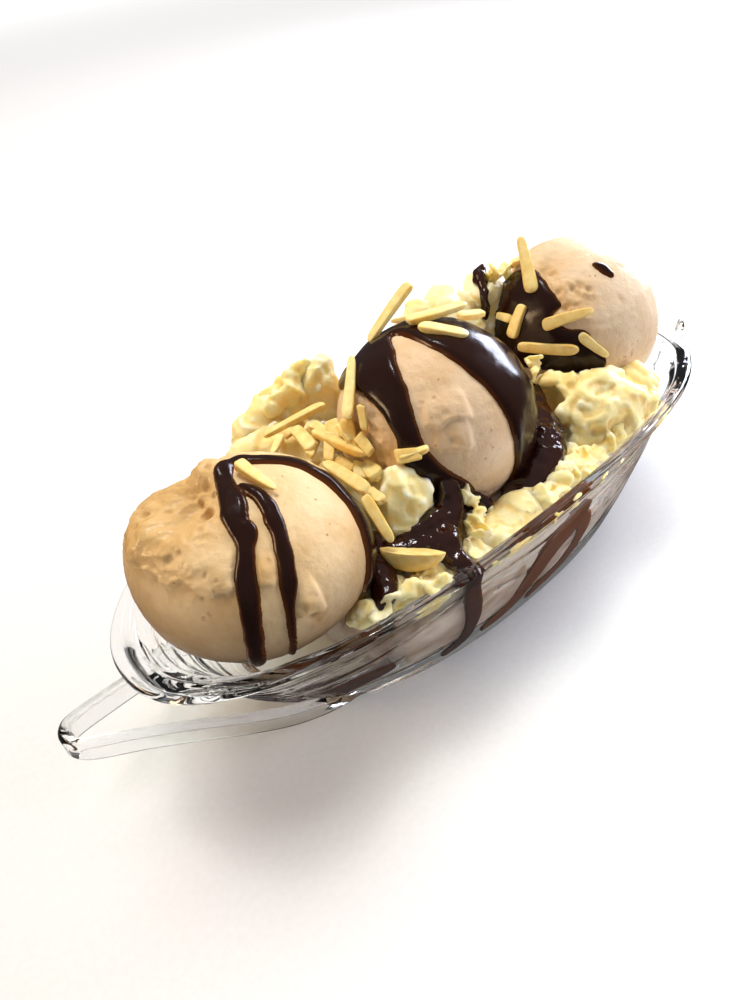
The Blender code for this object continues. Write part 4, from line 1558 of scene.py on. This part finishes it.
@dataclass
class Almonds:
    """Slivers split from blanched almonds, each with its own taper, and one half almond."""

    slivers: tuple[str, ...]
    half: str = "almond_half"
    chips: tuple[tuple[Place, Place, float], ...] = (
        ((-27.5, 7.5, 74.5), (-31.0, 3.5, 69.5), 2.2),
        ((-28.0, 1.0, 75.0), (-31.0, -3.0, 69.5), 2.2),
        ((-31.0, 13.0, 66.0), (-35.5, 4.0, 61.5), 4.0),
        ((-31.0, 5.0, 70.0), (-35.0, -2.0, 62.5), 3.6),
        ((-32.0, -1.0, 67.5), (-33.0, -7.5, 64.5), 3.2),
        ((-38.0, -4.0, 60.0), (-34.0, -11.0, 59.5), 5.4),
        ((-40.0, -12.0, 57.5), (-40.0, -19.0, 57.5), 3.6),
        ((-38.5, 3.0, 60.5), (-38.0, -4.5, 60.0), 3.4),
        ((-33.0, 21.0, 62.0), (-33.5, 12.0, 62.5), 3.0),
        ((-33.5, 25.5, 61.0), (-43.0, 22.0, 62.5), 2.4),
        ((-30.0, -14.5, 65.0), (-26.0, -20.5, 67.0), 3.8),
        ((-34.5, 9.5, 64.5), (-41.5, 2.5, 61.5), 3.4),
        ((-32.5, 7.0, 68.0), (-33.5, 0.0, 65.5), 2.6),
        ((-37.0, 14.0, 62.5), (-44.0, 8.5, 62.0), 3.0),
    )
    chip_seed: int = 900
    rings: int = 26
    around: int = 20

    def grid(self, section: Callable[[float, float], Place]) -> tuple[np.ndarray, np.ndarray]:
        """Skin a closed shape from its sections.

        Args:
            section: gives a local point for a share along and an angle round.

        Returns:
            Points and triangles.
        """
        shares = -np.cos(pi * np.arange(self.rings) / (self.rings - 1))
        angles = 2 * pi * np.arange(self.around) / self.around
        points = np.array([section(share, angle) for share in shares for angle in angles])
        faces = []
        for row in range(self.rings - 1):
            for i in range(self.around):
                j = (i + 1) % self.around
                a, b = row * self.around + i, row * self.around + j
                c, d = a + self.around, b + self.around
                faces += [(a, b, d), (a, d, c)]
        first, last = len(points), len(points) + 1
        ends = np.array([points[: self.around].mean(axis=0), points[-self.around :].mean(axis=0)])
        tail = (self.rings - 1) * self.around
        for i in range(self.around):
            j = (i + 1) % self.around
            faces += [(first, j, i), (last, tail + i, tail + j)]
        return np.vstack([points, ends]), np.array(faces)

    def sliver(self, node: str, order: int) -> tuple[np.ndarray, np.ndarray, np.ndarray]:
        """One sliver.

        Args:
            node: its node.
            order: its number, which sets its own taper and bow.

        Returns:
            Points, triangles and how golden each point is.
        """
        axes = Axes.of(node)
        chance = np.random.default_rng(order)
        blunt = chance.uniform(3.5, 14.0, 2)
        lean, bow, twist = chance.uniform(-0.25, 0.25), chance.uniform(-0.35, 0.35), chance.uniform(-0.2, 0.2)
        taper, pointed = chance.uniform(0.05, 0.24), chance.choice((-1, 1))
        length, width, thickness = axes.half

        def section(share: float, angle: float) -> Place:
            """A rounded bar that narrows to one end, bows and twists a little."""
            power = blunt[0] if share < 0 else blunt[1]
            fat = (1 - abs(share) ** power) ** 0.5 * (1 - taper * (share * pointed + 1))
            fat = max(fat, 0.05)
            turn = angle + twist * share
            wide = squared(cos(turn), 0.3)
            high = squared(sin(turn), 0.25 if sin(turn) < 0 else 0.4)
            x = length * share
            y = width * fat * wide + lean * width * share + bow * (1 - share**2)
            z = thickness * fat * high + 0.25 * bow * (1 - share**2)
            return x, y, z

        local, faces = self.grid(section)
        streak = lumps(local * (0.25, 1.0, 1.0) + 40.0 * order, 0.9, order)
        local = local * (1 + 0.05 * streak[:, None] * (0, 1, 1))
        edge = np.abs(local[:, 1]) / width
        tone = 0.15 + 0.55 * edge**3 + 0.25 * streak + chance.uniform(-0.1, 0.2)
        return axes.at(local), faces, tone.clip(0, 1)

    def chip(
        self, start: Place, end: Place, width: float, order: int
    ) -> tuple[np.ndarray, np.ndarray, np.ndarray]:
        """A chip broken off a sliver: flat, with square ends.

        Args:
            start: one end.
            end: the other end.
            width: its width, mm.
            order: its number, which sets how it lies.

        Returns:
            Points, triangles and how golden each point is.
        """
        chance = np.random.default_rng(self.chip_seed + order)
        start, end = np.array(start), np.array(end)
        along = (end - start) / np.linalg.norm(end - start)
        up = np.array((-0.35, -0.35, 0.85)) + chance.uniform(-0.3, 0.3, 3)
        across = np.cross(up, along)
        across /= np.linalg.norm(across)
        up = np.cross(along, across)
        half = (np.linalg.norm(end - start) / 2, width / 2, min(1.1, 0.45 * width))
        lean = chance.uniform(-0.3, 0.3)

        def section(share: float, angle: float) -> Place:
            """A square-ended, nearly square bar whose ends lean."""
            fat = max((1 - abs(share) ** 16) ** 0.5, 0.05)
            wide, high = squared(cos(angle), 0.25), squared(sin(angle), 0.25)
            x = half[0] * share + lean * half[1] * wide
            y = half[1] * fat * wide * (1 - 0.15 * share)
            return x, y, half[2] * fat * high

        local, faces = self.grid(section)
        tone = 0.25 + chance.uniform(0.0, 0.5) + 0.2 * lumps(local + 30.0 * order, 1.5, order)
        placed = (start + end) / 2 + local @ np.stack([along, across, up])
        return placed, faces, tone.clip(0, 1)

    def half_almond(self) -> tuple[np.ndarray, np.ndarray, np.ndarray]:
        """The half almond: a flat cut face above and the nut's round back below."""
        axes = Axes.of(self.half)
        length = axes.half[0]
        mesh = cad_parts[self.half].data
        areas: dict[tuple, float] = {}
        for face in mesh.polygons:
            key = tuple(round(c, 1) for c in face.normal)
            areas[key] = areas.get(key, 0.0) + face.area
        flat = np.array(max(areas, key=areas.get))
        flat = flat - axes.along * (flat @ axes.along)
        flat /= np.linalg.norm(flat)
        side = np.cross(flat, axes.along)
        points = node_points(self.half)
        level = (points @ flat).max()
        middle = axes.middle + flat * (level - axes.middle @ flat)
        half_width = np.ptp(points @ side) / 2
        middle = middle + side * ((points @ side).max() - half_width - middle @ side)
        deep = np.ptp(points @ flat)

        def section(share: float, angle: float) -> Place:
            """A round back below and a slightly hollow cut face above."""
            fat = max((1 - abs(share) ** (1.7 if share > 0 else 2.6)) ** 0.62, 0.02)
            low = sin(angle) < 0
            y = half_width * fat * cos(angle)
            z = (deep * fat if low else 0.35) * sin(angle) - 0.5 * (not low) * (1 - abs(cos(angle))) * fat
            return length * share, y, z

        local, faces = self.grid(section)
        streak = lumps(local * (0.2, 1.0, 1.0), 1.1, 77)
        placed = middle + local @ np.stack([axes.along, side, flat])
        return placed, faces, (0.45 + 0.3 * streak).clip(0, 1)

    def build(self, nut: bpy.types.Material) -> None:
        """Make the slivers as one piece and the half almond as another."""
        made = [self.sliver(node, order) for order, node in enumerate(self.slivers)]
        made += [self.chip(start, end, width, order) for order, (start, end, width) in enumerate(self.chips)]
        mesh = joined("slivers", [(points, faces) for points, faces, _ in made])
        tag(mesh, "tone", np.concatenate([tone for _, _, tone in made]))
        add_piece("almond_slivers", mesh, nut, "almond", self.slivers)
        points, faces, tone = self.half_almond()
        mesh = new_mesh("half", points, faces)
        tag(mesh, "tone", tone)
        mesh.set_sharp_from_angle(angle=radians(50.0))
        add_piece("almond_half_split", mesh, nut, "almond", [self.half])


# --------------------------------------------------------------------------
# Table, light and camera
# --------------------------------------------------------------------------


@dataclass
class Studio:
    """Pale paper under the dish, large soft lamps and the camera."""

    azimuth: float = -36.1
    elevation: float = 40.3
    roll: float = -8.6
    camera_at: Place = (-139.0, -151.1, 198.6)
    lens: float = 28.1
    sensor: float = 36.0
    paper: float = 6.0
    look_at: Place = (0.0, 0.0, 0.04)
    horizon: str = "#8e9092"
    zenith: str = "#e8e8e8"
    sky_strength: float = 0.3

    def floor(self) -> None:
        """A wide sheet of paper that the foot stands on."""
        mesh = bpy.data.meshes.new("paper")
        built = bmesh.new()
        bmesh.ops.create_grid(built, x_segments=8, y_segments=8, size=self.paper)
        built.to_mesh(mesh)
        built.free()
        paper = bpy.data.objects.new("floor", mesh)
        paper.location.z = -0.02 * MM
        paper.visible_glossy = False
        mesh.materials.append(StudioPaper().material())
        bpy.context.scene.collection.objects.link(paper)

    def lamp(
        self,
        name: str,
        place: Place,
        size: tuple[float, float],
        power: float,
        colour: str,
        gleams: bool = True,
    ) -> None:
        """An area lamp that looks at the food.

        Args:
            name: its name.
            place: where it stands, in metres.
            size: its width and height, in metres.
            power: watts.
            colour: its sRGB colour.
            gleams: whether it shows as a highlight on gloss and glass.
        """
        light = bpy.data.lights.new(name, "AREA")
        light.shape = "RECTANGLE"
        light.size, light.size_y = size
        light.energy = power
        light.color = linear(colour)[:3]
        lamp = bpy.data.objects.new(name, light)
        lamp.location = place
        lamp.visible_glossy = gleams
        aim = Vector(self.look_at) - Vector(place)
        lamp.rotation_euler = aim.to_track_quat("-Z", "Y").to_euler()
        bpy.context.scene.collection.objects.link(lamp)

    def lights(self) -> None:
        """A soft ceiling with a bulb, a cool window to the right, a warm lamp at the left, a pale wall.

        The ceiling and the wall give no highlight: gloss and glass show only the bulb, window and warm lamp.
        """
        self.lamp("ceiling", (0.22, 0.42, 1.1), (0.7, 0.6), 13.4, "#fffaf2", gleams=False)
        self.lamp("bulb", (0.16, 0.36, 1.0), (0.12, 0.12), 1.6, "#ffffff")
        self.lamp("window", (0.95, 0.18, 0.24), (0.5, 0.44), 12.0, "#e4eaff")
        self.lamp("room_lamp", (-0.85, 0.5, 0.5), (0.35, 0.3), 4.2, "#ffd8a8")
        self.lamp("opposite_wall", (0.9, -0.62, 0.45), (0.5, 0.5), 11.0, "#f0eef8", gleams=False)
        world = bpy.data.worlds.new("room")
        world.use_nodes = True
        tree = world.node_tree
        place = add_node(tree, "TexCoord").outputs["Generated"]
        up = between(tree, height_in(tree, place), -0.1, 0.7, 0.0, 1.0)
        sky = mixed(tree, up, linear(self.horizon), linear(self.zenith))
        background = tree.nodes["Background"]
        tree.links.new(sky, background.inputs["Color"])
        background.inputs["Strength"].default_value = self.sky_strength
        bpy.context.scene.world = world

    def camera(self) -> None:
        """The camera, level with nothing: it looks down along the dish and leans a little."""
        around, up, lean = (radians(a) for a in (self.azimuth, self.elevation, self.roll))
        back = Vector((sin(around) * cos(up), -cos(around) * cos(up), sin(up)))
        level = Vector((cos(around), sin(around), 0.0))
        upright = back.cross(level)
        right = level * cos(lean) + upright * sin(lean)
        top = upright * cos(lean) - level * sin(lean)
        lens = bpy.data.cameras.new("camera")
        lens.sensor_fit = "VERTICAL"
        lens.sensor_height = self.sensor
        lens.lens = self.lens
        lens.clip_start = 0.01
        view = bpy.data.objects.new("camera", lens)
        turn = Matrix((right, top, back)).transposed().to_4x4()
        view.matrix_world = Matrix.Translation(Vector(self.camera_at) * MM) @ turn
        bpy.context.scene.collection.objects.link(view)
        bpy.context.scene.camera = view

    def build(self) -> None:
        """Set everything up."""
        self.camera()
        self.floor()
        self.lights()
        settings = bpy.context.scene.view_settings
        settings.view_transform = "Standard"


# --------------------------------------------------------------------------
# The whole
# --------------------------------------------------------------------------


# These lumps stand in the shade of the scoops. A paler finish makes up for light that the lamps don't give.
PALE_CREAM = ("cream_back_left", "cream_back_right", "cream_front_middle")


def main() -> None:
    """Build everything in order."""
    logging.basicConfig(level=logging.INFO, format="%(message)s")
    Studio().build()
    dish = GlassBoat()
    dish.build(PressedGlass().material())
    melted = MeltedCream().material()
    banana = RipeBanana().material()
    bed = Filling("cream_bed", "melted_cream_bed", "softened_cream", voxel=1.2, reach=0.8, uneven=1.2, seed=3)
    bed.build(melted)
    for side in ("near", "far"):
        node = f"banana_half_{side}"
        Filling(node, f"{node}_cut", "banana", voxel=1.0, reach=1.0, uneven=0.3, seed=5).build(banana)
    cream = WhippedCream().material()
    pale = WhippedCream("whipped_cream_pale", light="#fff4ca", dark="#ffde8c", tip_highlight="#fffaea").material()
    sauce = ChocolateSauce("chocolate_coat", gloss=0.3, roughness=0.14).material()
    pool = ChocolateSauce(
        "chocolate_pool", thick="#2a0f07", gloss=0.6, roughness=0.05, swell=1.2, swell_height=0.11
    ).material()
    for ice in scoops():
        ice.build()
        ice.pour(sauce)
    mounds = (
        TornCream("cream_back_left", seed=101, crest=3.0),
        TornCream("cream_back_right", seed=121, crest=2.8),
        TornCream("cream_front_middle", seed=141, crest=2.2),
        TornCream("cream_front_right", seed=161, crest=2.8),
        TornCream("cream_by_rim_1", seed=181, crest=1.2, voxel=0.5),
        TornCream("cream_by_rim_2", seed=201, crest=1.6, voxel=0.5),
        TornCream("cream_by_rim_3", seed=221, crest=1.0, voxel=0.5),
    )
    for mound in mounds:
        mound.build(pale if mound.node in PALE_CREAM else cream)
    for body in sauce_bodies(dish):
        body.build(pool, dish)
    CreamScraps().build(cream, dish)
    slivers = tuple(sorted(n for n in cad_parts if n.startswith("almond_") and n != "almond_half"))
    Almonds(slivers).build(BlanchedAlmond().material())


if __name__ == "__main__":
    main()
